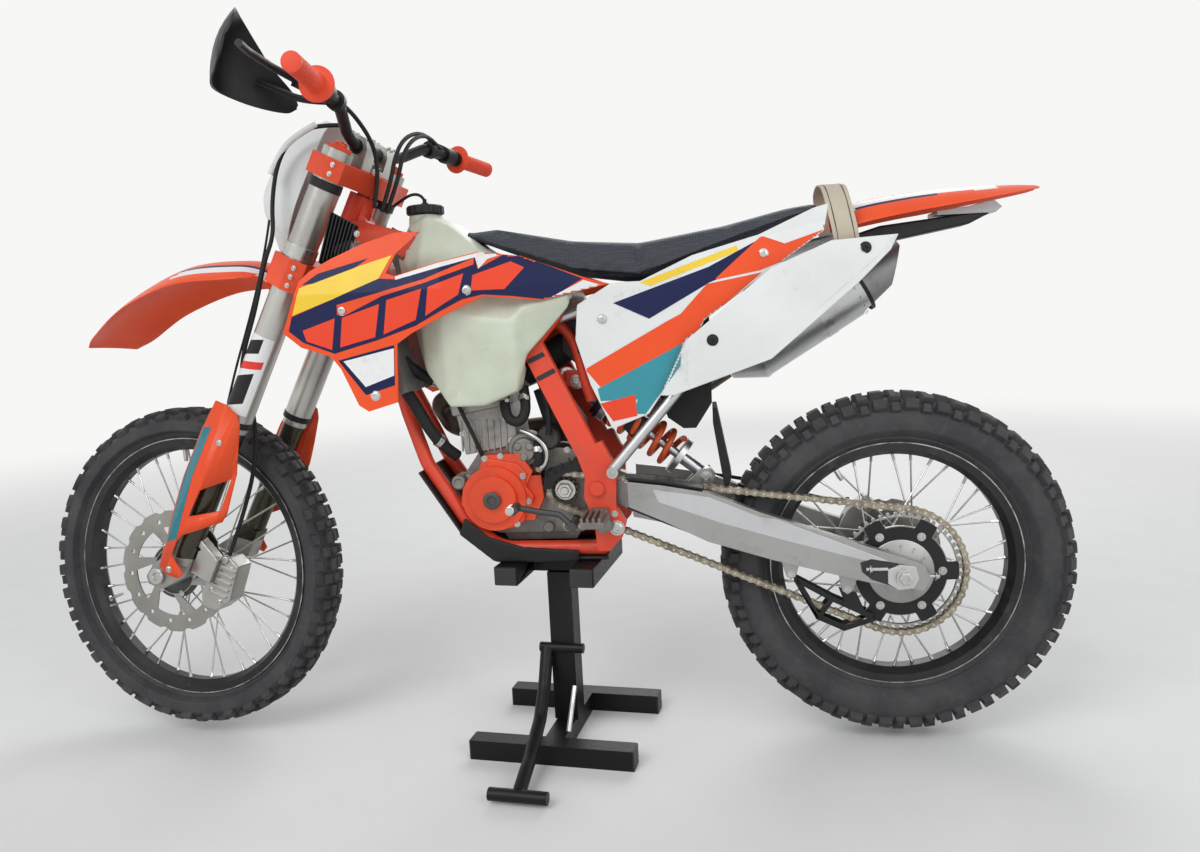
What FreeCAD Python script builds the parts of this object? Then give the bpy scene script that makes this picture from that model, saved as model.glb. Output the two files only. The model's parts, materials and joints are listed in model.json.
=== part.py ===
import FreeCAD, Part
import Sketcher
import math
import os

# Enduro dirt bike on its paddock stand.
# Frame: origin on the floor under the stand, +X to the bike's rear, -Y to its left, +Z up.
# Lengths are millimetres and angles degrees.

V = FreeCAD.Vector

# alias, value, what it measures
SIZES = (
    ("rear_axle_x", 664.0, "rear axle behind the stand's centre"),
    ("rear_axle_z", 356.0, "rear axle above the floor"),
    ("front_axle_x", -818.0, "front axle ahead of the stand's centre"),
    ("front_axle_z", 367.5, "front axle above the floor"),
    ("rake", 26.95, "steering axis leaned back from upright"),
    ("steer_rest", -9.0, "how far the bars are turned at rest"),
    ("axle_offset", 57.0, "front axle ahead of the steering axis"),
    ("clamp_offset", 22.0, "fork legs ahead of the steering axis"),
    ("leg_spread", 210.0, "between the fork legs' centres"),
    ("leg_gap", 0.2, "clearance of a tube in its clamp"),
    ("run_gap", 0.4, "clearance of a wheel on its axle and spacers"),
    ("seat_gap", 0.3, "clearance between pieces that rest on each other"),
    ("rear_tyre_radius", 340.0, "to the tips of the knobs"),
    ("rear_tyre_half", 58.0, "half the rear tyre's width"),
    ("rear_knob", 15.0, "height of the rear knobs"),
    ("rear_rim_radius", 242.0, "to the flange's edge"),
    ("rear_rim_half", 32.0, "half the rear rim's width"),
    ("front_tyre_radius", 347.0, "to the tips of the knobs"),
    ("front_tyre_half", 44.0, "half the front tyre's width"),
    ("front_knob", 12.0, "height of the front knobs"),
    ("front_rim_radius", 280.0, "to the flange's edge"),
    ("front_rim_half", 25.0, "half the front rim's width"),
    ("rim_lip", 4.0, "thickness of the rim's flange"),
    ("rim_bed", 14.0, "bead seat below the flange's edge"),
    ("rim_wall", 26.0, "spoke bed below the flange's edge"),
    ("spoke_radius", 1.9, "a spoke's wire"),
    ("front_hub_half", 69.6, "half the front hub's length"),
    ("front_flange", 36.0, "radius of the front spoke flanges"),
    ("front_disc_radius", 130.0, "outer radius"),
    ("front_disc_y", -72.0, "middle of the disc"),
    ("front_disc_thick", 3.0, "thickness of the disc"),
    ("rear_hub_half", 77.0, "half the rear hub's length"),
    ("rear_flange", 50.0, "radius of the rear spoke flanges"),
    ("rear_disc_radius", 110.0, "outer radius"),
    ("rear_disc_y", 72.0, "middle of the disc"),
    ("rear_disc_thick", 4.0, "thickness of the disc"),
    ("chain_y", -73.0, "chain line from the bike's middle plane"),
    ("chain_pitch", 15.875, "between the chain's pins"),
    ("chain_width", 17.0, "over the chain's plates"),
    ("chain_plate", 12.6, "height of a chain plate at its pins"),
    ("rear_teeth", 48.0, "teeth of the rear sprocket"),
    ("drive_teeth", 13.0, "teeth of the drive sprocket"),
    ("tooth_gap", 0.8, "tooth tips inside the chain's plates"),
    ("sprocket_thick", 6.0, "thickness of the rear sprocket"),
    ("drive_x", 26.0, "drive sprocket's centre"),
    ("drive_z", 530.0, "drive sprocket's centre"),
    ("pivot_x", 93.0, "swingarm pivot"),
    ("pivot_z", 537.0, "swingarm pivot"),
    ("pivot_radius", 10.0, "swingarm's pivot bolt"),
    ("arm_inner", 91.0, "swingarm's inner face from the middle plane"),
    ("arm_thick", 22.0, "thickness of a swingarm beam"),
    ("rear_axle_radius", 12.0, "rear axle's rod"),
    ("front_axle_radius", 12.0, "front axle's rod"),
    ("lower_leg_radius", 24.0, "sliding fork tube"),
    ("upper_leg_radius", 29.0, "outer fork tube"),
    ("upper_leg_low", 373.0, "outer tube's lower end along the fork"),
    ("upper_leg_top", 948.0, "outer tube's upper end along the fork"),
    ("scraper", 19.0, "height of the wiper under the outer tube"),
    ("lower_clamp_low", 662.0, "lower clamp's underside along the fork"),
    ("lower_clamp_high", 724.0, "lower clamp's upper side along the fork"),
    ("upper_clamp_low", 889.0, "upper clamp's underside along the fork"),
    ("upper_clamp_high", 930.0, "upper clamp's upper side along the fork"),
    ("stem_radius", 15.0, "steering stem"),
    ("head_radius", 29.0, "steering head tube"),
    ("bar_x", 36.0, "handlebar's middle in the fork's frame"),
    ("bar_z", 968.0, "handlebar's middle along the fork"),
    ("bar_half", 400.0, "half the handlebar's width"),
    ("bar_radius", 11.1, "handlebar's tube"),
    ("bar_thick", 14.3, "handlebar's clamped middle"),
    ("grip_radius", 17.0, "grip's rubber"),
    ("grip_flange", 31.0, "grip's inner flange"),
    ("spar_width", 22.0, "thickness of the frame's side spars"),
    ("spar_y", 95.0, "middle of a side spar"),
    ("cradle_radius", 14.0, "lower cradle's tubes"),
    ("moving_gap", 8.0, "room kept round what the steering moves"),
    ("subframe_radius", 10.5, "subframe's tubes"),
    ("skid_thick", 8.0, "thickness of the skid plate's floor"),
    ("header_radius", 19.0, "exhaust header's pipe"),
    ("silencer_radius", 61.0, "silencer's can"),
    ("silencer_y", 165.0, "silencer's axis from the middle plane"),
    ("shock_spring_radius", 33.0, "spring's middle line from the damper's axis"),
    ("shock_wire", 6.0, "radius of the spring's wire"),
    ("stand_y", -20.0, "stand's middle beside the bike's middle plane"),
    ("stand_yaw", -7.3, "how far the stand is turned under the bike"),
    ("stand_length", 331.0, "length of the base bars"),
    ("stand_spread", 253.0, "between the base bars' centres"),
    ("stand_tube", 40.0, "base bars' width and height"),
    ("stand_top_z", 391.0, "upper face of the stand's top bars"),
    ("stand_top_spread", 153.0, "between the top bars' centres"),
    ("stand_top_length", 252.0, "length of the top bars"),
    ("stand_top_width", 48.0, "width of the top bars"),
    ("stand_top_height", 38.0, "height of the top bars"),
    ("stand_post", 50.0, "side of the stand's square post"),
    ("engine_half", 70.0, "half the crankcase's width"),
    ("perch_from_end", 150.0, "lever perch's middle, from the bar's end"),
    ("mirror_hole", 5.0, "radius of the mirror's threaded hole"),
    ("mirror_depth", 16.0, "depth of the mirror's threaded hole"),
)

doc = FreeCAD.newDocument("enduro_bike")
sheet = doc.addObject("Spreadsheet::Sheet", "sizes")
for row, (alias, size, note) in enumerate(SIZES, start=1):
    sheet.set(f"A{row}", str(size))
    sheet.setAlias(f"A{row}", alias)
    sheet.set(f"B{row}", note)
doc.recompute()


def value(text):
    """The number that an expression over the sheet's cells gives."""
    return float(sheet.evalExpression(str(text)))


def read(alias):
    return float(sheet.get(alias))


NODES = {}


def node(label, item, placement=None):
    """Register one sub-part: its Label is its name, and it may get a Placement."""
    item.Label = label
    if placement is not None:
        item.Placement = placement
    NODES[label] = item
    return item


def feature(label, shape, placement=None):
    """A sub-part whose shape is worked out below from the sheet's sizes."""
    item = doc.addObject("Part::Feature", label)
    item.Shape = shape
    return node(label, item, placement)


def origin_plane(body, role):
    return next(item for item in body.Origin.OriginFeatures if item.Role == role)


def sketch(body, name, role, corners):
    """A closed outline of straight lines, each corner held by two bound distances."""
    drawn = body.newObject("Sketcher::SketchObject", name)
    drawn.AttachmentSupport = [(origin_plane(body, role), "")]
    drawn.MapMode = "FlatFace"
    points = [V(value(across), value(up), 0) for across, up in corners]
    count = len(points)
    drawn.addGeometry([Part.LineSegment(points[i], points[(i + 1) % count]) for i in range(count)], False)
    drawn.addConstraint([Sketcher.Constraint("Coincident", i, 2, (i + 1) % count, 1) for i in range(count)])
    for i, (across, up) in enumerate(corners):
        for kind, text in (("DistanceX", across), ("DistanceY", up)):
            index = drawn.addConstraint(Sketcher.Constraint(kind, -1, 1, i, 1, value(text)))
            drawn.setExpression(f"Constraints[{index}]", str(text))
    return drawn


def circles(body, name, role, rows):
    """Round outlines, one for each row of centre across, centre up and radius."""
    drawn = body.newObject("Sketcher::SketchObject", name)
    drawn.AttachmentSupport = [(origin_plane(body, role), "")]
    drawn.MapMode = "FlatFace"
    for i, (across, up, radius) in enumerate(rows):
        middle = V(value(across), value(up), 0)
        drawn.addGeometry(Part.Circle(middle, V(0, 0, 1), value(radius)), False)
        held = (("Radius", i, radius), ("DistanceX", i, across), ("DistanceY", i, up))
        for kind, edge, text in held:
            if kind == "Radius":
                index = drawn.addConstraint(Sketcher.Constraint(kind, edge, value(text)))
            else:
                index = drawn.addConstraint(Sketcher.Constraint(kind, -1, 1, edge, 3, value(text)))
            drawn.setExpression(f"Constraints[{index}]", str(text))
    return drawn


def new_body(label):
    return doc.addObject("PartDesign::Body", label)


def pad(body, drawn, length, midplane=True):
    made = body.newObject("PartDesign::Pad", drawn.Name + "_pad")
    made.Profile = drawn
    made.setExpression("Length", str(length))
    made.Midplane = midplane
    drawn.Visibility = False
    return made


def pocket(body, drawn, length):
    """A cut to both sides of the sketch's plane."""
    made = body.newObject("PartDesign::Pocket", drawn.Name + "_cut")
    made.Profile = drawn
    made.setExpression("Length", str(length))
    made.Midplane = True
    return made


def turned(label, profile, placement=None):
    """A body turned about Y from corners of radius and place along Y."""
    body = new_body(label)
    drawn = sketch(body, label + "_profile", "XY_Plane", profile)
    made = body.newObject("PartDesign::Revolution", label + "_turn")
    made.Profile = drawn
    made.ReferenceAxis = (drawn, ["V_Axis"])
    made.Angle = 360
    return node(label, body, placement)


def around_y(body, feature_made, name, count):
    """Repeat a feature evenly about the body's Y axis."""
    doc.recompute()
    pattern = body.newObject("PartDesign::PolarPattern", name)
    pattern.Originals = [feature_made]
    axis = next(item for item in body.Origin.OriginFeatures if item.Role == "Y_Axis")
    pattern.Axis = (axis, [""])
    pattern.Angle = 360
    pattern.Occurrences = int(count)
    body.Tip = pattern
    return pattern


def rod(start, end, radius):
    """A round bar between two points."""
    along = end - start
    return Part.makeCylinder(radius, along.Length, start, along)


def tube_path(points, radii):
    """Straight runs joined by tangent arcs: one radius for each inner point."""
    edges = []
    last = points[0]
    for before, corner, after, radius in zip(points, points[1:], points[2:], radii):
        arriving = (corner - before).normalize()
        leaving = (after - corner).normalize()
        turn = arriving.getAngle(leaving)
        reach = radius * math.tan(turn / 2)
        start = corner - arriving * reach
        end = corner + leaving * reach
        inward = (leaving - arriving).normalize()
        middle = corner + inward * (radius / math.cos(turn / 2) - radius)
        if (start - last).Length > 0.01:
            edges.append(Part.LineSegment(last, start).toShape())
        edges.append(Part.Arc(start, middle, end).toShape())
        last = end
    edges.append(Part.LineSegment(last, points[-1]).toShape())
    return Part.Wire(edges)


def tube(points, radius, bend):
    """A bent round tube: bend is its bends' radius, or a list with one for each bend."""
    inner = len(points) - 2
    radii = bend if isinstance(bend, (list, tuple)) else [bend] * inner
    if inner == 0:
        return rod(points[0], points[1], radius)
    path = tube_path(points, radii)
    start = path.Edges[0]
    direction = start.tangentAt(start.FirstParameter)
    ring = Part.Wire([Part.makeCircle(radius, points[0], direction)])
    return path.makePipeShell([ring], True, False)


def mirrored(shape):
    """The same shape on the bike's other side."""
    return shape.mirror(V(0, 0, 0), V(0, 1, 0))


def both_sides(shape):
    return [shape, mirrored(shape)]


def ring_of(points):
    return Part.makePolygon(points + points[:1])


def loft(rings, ruled=True):
    """A closed solid through sections of straight lines."""
    return Part.makeLoft([ring_of(ring) for ring in rings], True, ruled)


def plate(outline, low, high):
    """A flat plate in the XZ plane: its outline of x and z, from y low to y high."""
    face = Part.Face(ring_of([V(x, low, height) for x, height in outline]))
    return face.extrude(V(0, high - low, 0))


def box(x_low, x_high, y_low, y_high, z_low, z_high):
    return Part.makeBox(x_high - x_low, y_high - y_low, z_high - z_low, V(x_low, y_low, z_low))


def joined(shapes):
    """One solid from pieces that overlap."""
    made = shapes[0].multiFuse(shapes[1:])
    return made.removeSplitter()


def beam(points, depth, width):
    """A square-edged beam through points, depth in the XZ plane and width across it."""
    rings = []
    for i, point in enumerate(points):
        before = points[max(i - 1, 0)]
        after = points[min(i + 1, len(points) - 1)]
        along = V(after.x - before.x, 0, after.z - before.z).normalize()
        up = V(-along.z, 0, along.x)
        side = V(0, 1, 0)
        rings.append([
            point + up * depth / 2 - side * width / 2,
            point + up * depth / 2 + side * width / 2,
            point - up * depth / 2 + side * width / 2,
            point - up * depth / 2 - side * width / 2,
        ])
    return loft(rings)


# the fork's own frame: origin at the front axle, z up along the legs, x back across them
fork_rake = FreeCAD.Placement(
    V(read("front_axle_x"), 0, read("front_axle_z")),
    FreeCAD.Rotation(V(0, 1, 0), read("rake")),
)
to_axis = FreeCAD.Placement(V(read("axle_offset"), 0, 0), FreeCAD.Rotation())
turn_bars = FreeCAD.Placement(V(0, 0, 0), FreeCAD.Rotation(V(0, 0, 1), read("steer_rest")))
fork_frame = fork_rake * to_axis * turn_bars * to_axis.inverse()
straight_fork = fork_rake
rear_frame = FreeCAD.Placement(V(read("rear_axle_x"), 0, read("rear_axle_z")), FreeCAD.Rotation())
leg_x = read("axle_offset") - read("clamp_offset")
leg_y = read("leg_spread") / 2


# wheels

def tyre(label, radius, half, knob, rim_radius, rim_half, sectors, placement):
    """A knobbed tyre as flat faces.

    Each sector has a cell with a middle knob and a cell with two shoulder knobs.
    The section's rows give radius and y of the carcass, from the left bead to the right.
    """
    tread = radius - knob
    bead = (rim_radius - read("rim_bed") + read("seat_gap")) / math.cos(math.pi / sectors)
    crown = half * 0.62
    section = (
        (bead, -rim_half + 10),
        (rim_radius + 5, -rim_half + 3),
        (rim_radius + 0.45 * (tread - rim_radius), -half + 1),
        (tread - 0.22 * (tread - rim_radius), -half + knob / 3),
        (tread - 4, -crown),
        (tread, -crown * 0.5),
        (tread, crown * 0.5),
        (tread - 4, crown),
        (tread - 0.22 * (tread - rim_radius), half - knob / 3),
        (rim_radius + 0.45 * (tread - rim_radius), half - 1),
        (rim_radius + 5, rim_half - 3),
        (bead, rim_half - 10),
    )
    # strips between neighbouring rows that carry knobs, for each of a sector's two cells
    middle_strips = (5,)
    shoulder_strips = (3, 7)
    step = 2 * math.pi / sectors

    def spot(row, sector, part, lift=0.0):
        """A point of the carcass: part runs from 0 to 1 along the sector's chord."""
        across, along = section[row]
        first = sector * step
        a = V(across * math.cos(first), along, across * math.sin(first))
        b = V(across * math.cos(first + step), along, across * math.sin(first + step))
        point = a + (b - a) * part
        if lift:
            outward = V(point.x, 0, point.z).normalize()
            if row in (3, 8):
                outward = (outward + V(0, 1 if row == 8 else -1, 0) * 0.45).normalize()
            point = point + outward * lift
        return point

    faces = []

    def face(*points):
        faces.append(Part.Face(ring_of(list(points))))

    knob_part = 0.5
    rows = len(section)
    for sector in range(sectors):
        for strip in range(rows):
            after = (strip + 1) % rows
            on_tread = 3 <= strip <= 7
            next_to_tread = strip in (2, 8)
            if not on_tread and not next_to_tread:
                face(spot(strip, sector, 0), spot(after, sector, 0), spot(after, sector, 1), spot(strip, sector, 1))
                continue
            if next_to_tread:
                edge, far = (3, 2) if strip == 2 else (8, 9)
                face(spot(far, sector, 0), spot(edge, sector, 0), spot(edge, sector, knob_part),
                     spot(edge, sector, 1), spot(far, sector, 1))
                continue
            for part, strips in ((0.0, middle_strips), (knob_part, shoulder_strips)):
                end = part + knob_part
                corners = [(strip, part), (after, part), (after, end), (strip, end)]
                low = [spot(row, sector, place) for row, place in corners]
                if strip not in strips:
                    face(low[0], low[1], low[2])
                    face(low[0], low[2], low[3])
                    continue
                high = [spot(row, sector, place, knob) for row, place in corners]
                face(high[0], high[1], high[2])
                face(high[0], high[2], high[3])
                for i in range(4):
                    j = (i + 1) % 4
                    face(low[i], low[j], high[j])
                    face(low[i], high[j], high[i])
    shell = Part.makeShell(faces)
    shell.sewShape()
    solid = Part.makeSolid(Part.Shell(shell.Faces))
    if solid.Volume < 0:
        solid.reverse()
    return feature(label, solid, placement)


def rim(label, radius, half, placement):
    """A rim turned from a section with flanges, bead seats and a spoke bed."""
    edge, wide = f"sizes.{radius}", f"sizes.{half}"
    profile = (
        (edge, f"-{wide}"),
        (edge, f"-{wide} + sizes.rim_lip"),
        (f"{edge} - sizes.rim_bed", f"-{wide} + sizes.rim_lip + 2"),
        (f"{edge} - sizes.rim_bed - 5", f"-{wide} * 0.35"),
        (f"{edge} - sizes.rim_bed - 5", f"{wide} * 0.35"),
        (f"{edge} - sizes.rim_bed", f"{wide} - sizes.rim_lip - 2"),
        (edge, f"{wide} - sizes.rim_lip"),
        (edge, wide),
        (f"{edge} - sizes.rim_bed - 2", f"{wide} - 2"),
        (f"{edge} - sizes.rim_wall", f"{wide} * 0.4"),
        (f"{edge} - sizes.rim_wall", f"-{wide} * 0.4"),
        (f"{edge} - sizes.rim_bed - 2", f"2 - {wide}"),
    )
    return turned(label, profile, placement)


def spokes(label, flange, rim_radius, hub_y, rim_y, placement):
    """36 spokes, in pairs that lean forward and back, from the hub's flanges to the rim."""
    count = 36
    lean = math.radians(52)
    wire = read("spoke_radius")
    inner = flange + wire + read("seat_gap")
    outer = rim_radius - read("rim_wall") - read("seat_gap") - wire * 0.3
    made = []
    for index in range(count):
        side = -1 if index % 2 else 1
        forward = 1 if index // 2 % 2 else -1
        at_rim = 2 * math.pi * index / count
        at_hub = at_rim + forward * lean
        depth = hub_y + (5 if forward > 0 else -5)
        start = V(inner * math.cos(at_hub), side * depth, inner * math.sin(at_hub))
        end = V(outer * math.cos(at_rim), side * rim_y, outer * math.sin(at_rim))
        made.append(rod(start, end, wire))
    return feature(label, Part.Compound(made), placement)


def brake_disc(label, radius, inner, thick, middle, holes, placement):
    """A disc with a scalloped edge and a ring of slots."""
    body = new_body(label)
    blank = circles(body, label + "_blank", "XZ_Plane", (("0", "0", radius), ("0", "0", inner)))
    pad(body, blank, thick)
    doc.recompute()
    scallop = circles(body, label + "_scallop", "XZ_Plane", ((f"{radius} + 12", "0", "17"),))
    cut = pocket(body, scallop, f"{thick} + 2")
    around_y(body, cut, label + "_scallops", holes)
    doc.recompute()
    slot = circles(body, label + "_slot", "XZ_Plane", ((f"{radius} - 22", "9", "4.5"),))
    hole = pocket(body, slot, f"{thick} + 2")
    around_y(body, hole, label + "_slots", holes)
    doc.recompute()
    shift = FreeCAD.Placement(V(0, value(middle), 0), FreeCAD.Rotation())
    return node(label, body, placement * shift)


FRONT_SECTORS = 32
REAR_SECTORS = 30

tyre("rear_tyre", read("rear_tyre_radius"), read("rear_tyre_half"), read("rear_knob"),
     read("rear_rim_radius"), read("rear_rim_half"), REAR_SECTORS, rear_frame)
rim("rear_rim", "rear_rim_radius", "rear_rim_half", rear_frame)
turned("rear_hub", (
    ("sizes.rear_axle_radius + sizes.run_gap", "-sizes.rear_hub_half"),
    ("26", "-sizes.rear_hub_half"),
    ("26", "sizes.chain_y + sizes.sprocket_thick / 2 + sizes.seat_gap"),
    ("84", "sizes.chain_y + sizes.sprocket_thick / 2 + sizes.seat_gap"),
    ("84", "sizes.chain_y + sizes.sprocket_thick / 2 + 7"),
    ("38", "-54"),
    ("sizes.rear_flange", "-46"),
    ("sizes.rear_flange", "-32"),
    ("30", "-24"),
    ("30", "24"),
    ("sizes.rear_flange", "32"),
    ("sizes.rear_flange", "46"),
    ("38", "54"),
    ("58", "sizes.rear_disc_y - 9"),
    ("58", "sizes.rear_disc_y - sizes.rear_disc_thick / 2 - sizes.seat_gap"),
    ("26", "sizes.rear_disc_y - sizes.rear_disc_thick / 2 - sizes.seat_gap"),
    ("26", "sizes.rear_hub_half"),
    ("sizes.rear_axle_radius + sizes.run_gap", "sizes.rear_hub_half"),
), rear_frame)
spokes("rear_spokes", read("rear_flange"), read("rear_rim_radius"), 39, 7, rear_frame)
brake_disc("rear_disc", "sizes.rear_disc_radius", "45", "sizes.rear_disc_thick", "sizes.rear_disc_y", 12, rear_frame)

tyre("front_tyre", read("front_tyre_radius"), read("front_tyre_half"), read("front_knob"),
     read("front_rim_radius"), read("front_rim_half"), FRONT_SECTORS, fork_frame)
rim("front_rim", "front_rim_radius", "front_rim_half", fork_frame)
turned("front_hub", (
    ("sizes.front_axle_radius + sizes.run_gap", "-sizes.front_hub_half"),
    ("20", "-sizes.front_hub_half"),
    ("20", "sizes.front_disc_y + sizes.front_disc_thick / 2 + sizes.seat_gap"),
    ("58", "sizes.front_disc_y + sizes.front_disc_thick / 2 + sizes.seat_gap"),
    ("58", "sizes.front_disc_y + 8"),
    ("30", "-50"),
    ("sizes.front_flange", "-42"),
    ("sizes.front_flange", "-28"),
    ("22", "-20"),
    ("22", "20"),
    ("sizes.front_flange", "28"),
    ("sizes.front_flange", "42"),
    ("24", "50"),
    ("20", "sizes.front_hub_half"),
    ("sizes.front_axle_radius + sizes.run_gap", "sizes.front_hub_half"),
), fork_frame)
spokes("front_spokes", read("front_flange"), read("front_rim_radius"), 35, 6, fork_frame)
brake_disc("front_disc", "sizes.front_disc_radius", "48", "sizes.front_disc_thick", "sizes.front_disc_y", 14, fork_frame)


# chain and sprockets

def pitch_radius(teeth):
    return read("chain_pitch") / (2 * math.sin(math.pi / teeth))


def sprocket(label, teeth_alias, thick, bore, placement, window=None):
    """A blank with tooth gaps cut between its teeth, inside the chain's loop."""
    teeth = int(read(teeth_alias))
    pitch = f"(sizes.chain_pitch / (2 * sin(180 / sizes.{teeth_alias})))"
    tip = f"({pitch} - sizes.chain_plate / 2 - sizes.tooth_gap)"
    body = new_body(label)
    blank = circles(body, label + "_blank", "XZ_Plane", (("0", "0", tip), ("0", "0", bore)))
    pad(body, blank, thick)
    doc.recompute()
    step = f"(180 / sizes.{teeth_alias})"
    gap = sketch(body, label + "_gap", "XZ_Plane", (
        (f"({tip} + 1) * cos({step})", f"-({tip} + 1) * sin({step}) * 0.72"),
        (f"({tip} + 1) * cos({step})", f"({tip} + 1) * sin({step}) * 0.72"),
        (f"{tip} - sizes.chain_pitch * 0.42", f"{tip} * sin({step}) * 0.3"),
        (f"{tip} - sizes.chain_pitch * 0.42", f"-{tip} * sin({step}) * 0.3"),
    ))
    cut = pocket(body, gap, f"{thick} + 2")
    around_y(body, cut, label + "_gaps", teeth)
    doc.recompute()
    if window:
        opening = sketch(body, label + "_window", "XZ_Plane", window)
        hole = pocket(body, opening, f"{thick} + 2")
        around_y(body, hole, label + "_windows", 6)
        doc.recompute()
    return node(label, body, placement)


sprocket_place = rear_frame * FreeCAD.Placement(V(0, read("chain_y"), 0), FreeCAD.Rotation())
sprocket("rear_sprocket", "rear_teeth", "sizes.sprocket_thick", "40", sprocket_place,
         (("88", "-26"), ("93", "-22"), ("93", "22"), ("88", "26")))
drive_place = FreeCAD.Placement(V(read("drive_x"), read("chain_y"), read("drive_z")), FreeCAD.Rotation())
sprocket("drive_sprocket", "drive_teeth", "8", "10.5", drive_place)


def chain_loop():
    """Pin centres round both sprockets, evenly spaced along the loop."""
    front = V(read("drive_x"), 0, read("drive_z"))
    rear = V(read("rear_axle_x"), 0, read("rear_axle_z"))
    small = pitch_radius(read("drive_teeth"))
    large = pitch_radius(read("rear_teeth"))
    span = rear - front
    slope = math.atan2(span.z, span.x)
    spread = math.asin((large - small) / span.Length)
    run = math.sqrt(span.Length ** 2 - (large - small) ** 2)
    # the loop in four stretches: upper run, rear sprocket, lower run, drive sprocket
    upper_angle = slope + math.pi / 2 + spread
    lower_angle = slope - math.pi / 2 - spread
    rear_wrap = large * (math.pi + 2 * spread)
    front_wrap = small * (math.pi - 2 * spread)
    total = 2 * run + rear_wrap + front_wrap
    links = 2 * round(total / read("chain_pitch") / 2)

    def on(centre, radius, angle):
        return centre + V(math.cos(angle), 0, math.sin(angle)) * radius

    def spot(distance, lift):
        if distance < run:
            part = distance / run
            a = on(front, small + lift, upper_angle)
            return a + (on(rear, large + lift, upper_angle) - a) * part
        distance -= run
        if distance < rear_wrap:
            return on(rear, large + lift, upper_angle - distance / large)
        distance -= rear_wrap
        if distance < run:
            part = distance / run
            a = on(rear, large + lift, lower_angle)
            return a + (on(front, small + lift, lower_angle) - a) * part
        distance -= run
        return on(front, small + lift, lower_angle - distance / small)

    return spot, total, links


def chain():
    """One loop of waisted links: its outline swells at each pin."""
    spot, total, links = chain_loop()
    tall = read("chain_plate") / 2
    waist = tall * 0.68
    outer = []
    inner = []
    for half_link in range(2 * links):
        lift = tall if half_link % 2 == 0 else waist
        distance = total * half_link / (2 * links)
        outer.append(spot(distance, lift))
        inner.append(spot(distance, -lift))
    low = read("chain_y") - read("chain_width") / 2
    shift = V(0, low, 0)
    edges = [ring_of([p + shift for p in outer]), ring_of([p + shift for p in inner])]
    face = Part.makeFace(edges, "Part::FaceMakerBullseye")
    return face.extrude(V(0, read("chain_width"), 0))


feature("chain", chain())


# fork and steering, in the fork's frame

def leg_solid(low, high, radius, side):
    return rod(V(leg_x, side * leg_y, low), V(leg_x, side * leg_y, high), radius)


def fork_uppers():
    made = []
    for side in (-1, 1):
        low = read("upper_leg_low")
        tube_solid = leg_solid(low, read("upper_leg_top"), read("upper_leg_radius"), side)
        wiper = leg_solid(low - read("scraper"), low, read("upper_leg_radius") - 2, side)
        cap = leg_solid(read("upper_leg_top"), read("upper_leg_top") + 8, 19, side)
        made.append(joined([tube_solid, wiper, cap]))
    return Part.Compound(made)


feature("fork_uppers", fork_uppers(), fork_frame)


def fork_lowers():
    """Sliding tubes with their axle lugs, bored for the axle."""
    made = []
    # corners of the axle lug: x, z
    lug = ((-26, -14), (-20, 20), (leg_x - 26, 62), (leg_x - 26, 96), (leg_x + 25, 96), (leg_x + 25, 30),
           (18, -22), (-14, -26))
    for side in (-1, 1):
        top = read("upper_leg_low") - read("scraper") - read("seat_gap")
        slider = leg_solid(50, top, read("lower_leg_radius"), side)
        low, high = sorted((side * 81.0, side * 119.0))
        block = plate(lug, low, high)
        axle_hole = rod(V(0, side * 70, 0), V(0, side * 130, 0), read("front_axle_radius") + read("leg_gap"))
        made.append(joined([slider, block]).cut(axle_hole))
    return Part.Compound(made)


feature("fork_lowers", fork_lowers(), fork_frame)


def clamp_plate(low, high):
    """A fork clamp seen from above, bored for both legs."""
    outline = []
    boss = read("upper_leg_radius") + 9
    # corners of one half of the plate: x, y
    half = ((leg_x - boss, 128), (leg_x + 8, 143), (leg_x + boss, 128), (leg_x + boss, 92), (94, 30))
    outline = list(half) + [(x, -y) for x, y in reversed(half)]
    front = [(leg_x - 20, -70), (leg_x - 20, 70)]
    wire = ring_of([V(x, y, low) for x, y in outline + front])
    solid = Part.Face(wire).extrude(V(0, 0, high - low))
    bores = [leg_solid(low - 1, high + 1, read("upper_leg_radius") + read("leg_gap"), side) for side in (-1, 1)]
    return solid.cut(bores[0]).cut(bores[1])


def lower_clamp():
    low, high = read("lower_clamp_low"), read("lower_clamp_high")
    axis = read("axle_offset")
    stem = rod(V(axis, 0, low), V(axis, 0, read("upper_clamp_low") - read("seat_gap")), read("stem_radius"))
    return joined([clamp_plate(low, high), stem])


feature("lower_clamp", lower_clamp(), fork_frame)


def upper_clamp():
    """Upper clamp with the handlebar's risers and split clamps."""
    low, high = read("upper_clamp_low"), read("upper_clamp_high")
    pieces = [clamp_plate(low, high)]
    bar_x, bar_z = read("bar_x"), read("bar_z")
    # corners of a riser with its clamp: x, z beside the bar's centre
    riser = ((bar_x - 30, high - 1), (bar_x - 26, bar_z + 6), (bar_x - 12, bar_z + 24), (bar_x + 14, bar_z + 22),
             (bar_x + 25, bar_z + 2), (bar_x + 28, high - 1))
    for middle in (-40, 40):
        pieces.append(plate(riser, middle - 17, middle + 17))
    nut = rod(V(read("axle_offset"), 0, high - 1), V(read("axle_offset"), 0, high + 9), 17)
    pieces.append(nut)
    hole = rod(V(bar_x, -70, bar_z), V(bar_x, 70, bar_z), read("bar_thick") + read("leg_gap"))
    return joined(pieces).cut(hole)


feature("upper_clamp", upper_clamp(), fork_frame)

# right half of the handlebar's line: x back, y, z up from the clamped middle
BAR_LINE = ((0, 62, 0), (4, 112, 18), (11, 176, 57), (59, 400, 77))


def bar_points(side):
    origin = V(read("bar_x"), 0, read("bar_z"))
    return [origin + V(x, side * y * read("bar_half") / 400, z) for x, y, z in BAR_LINE]


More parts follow.
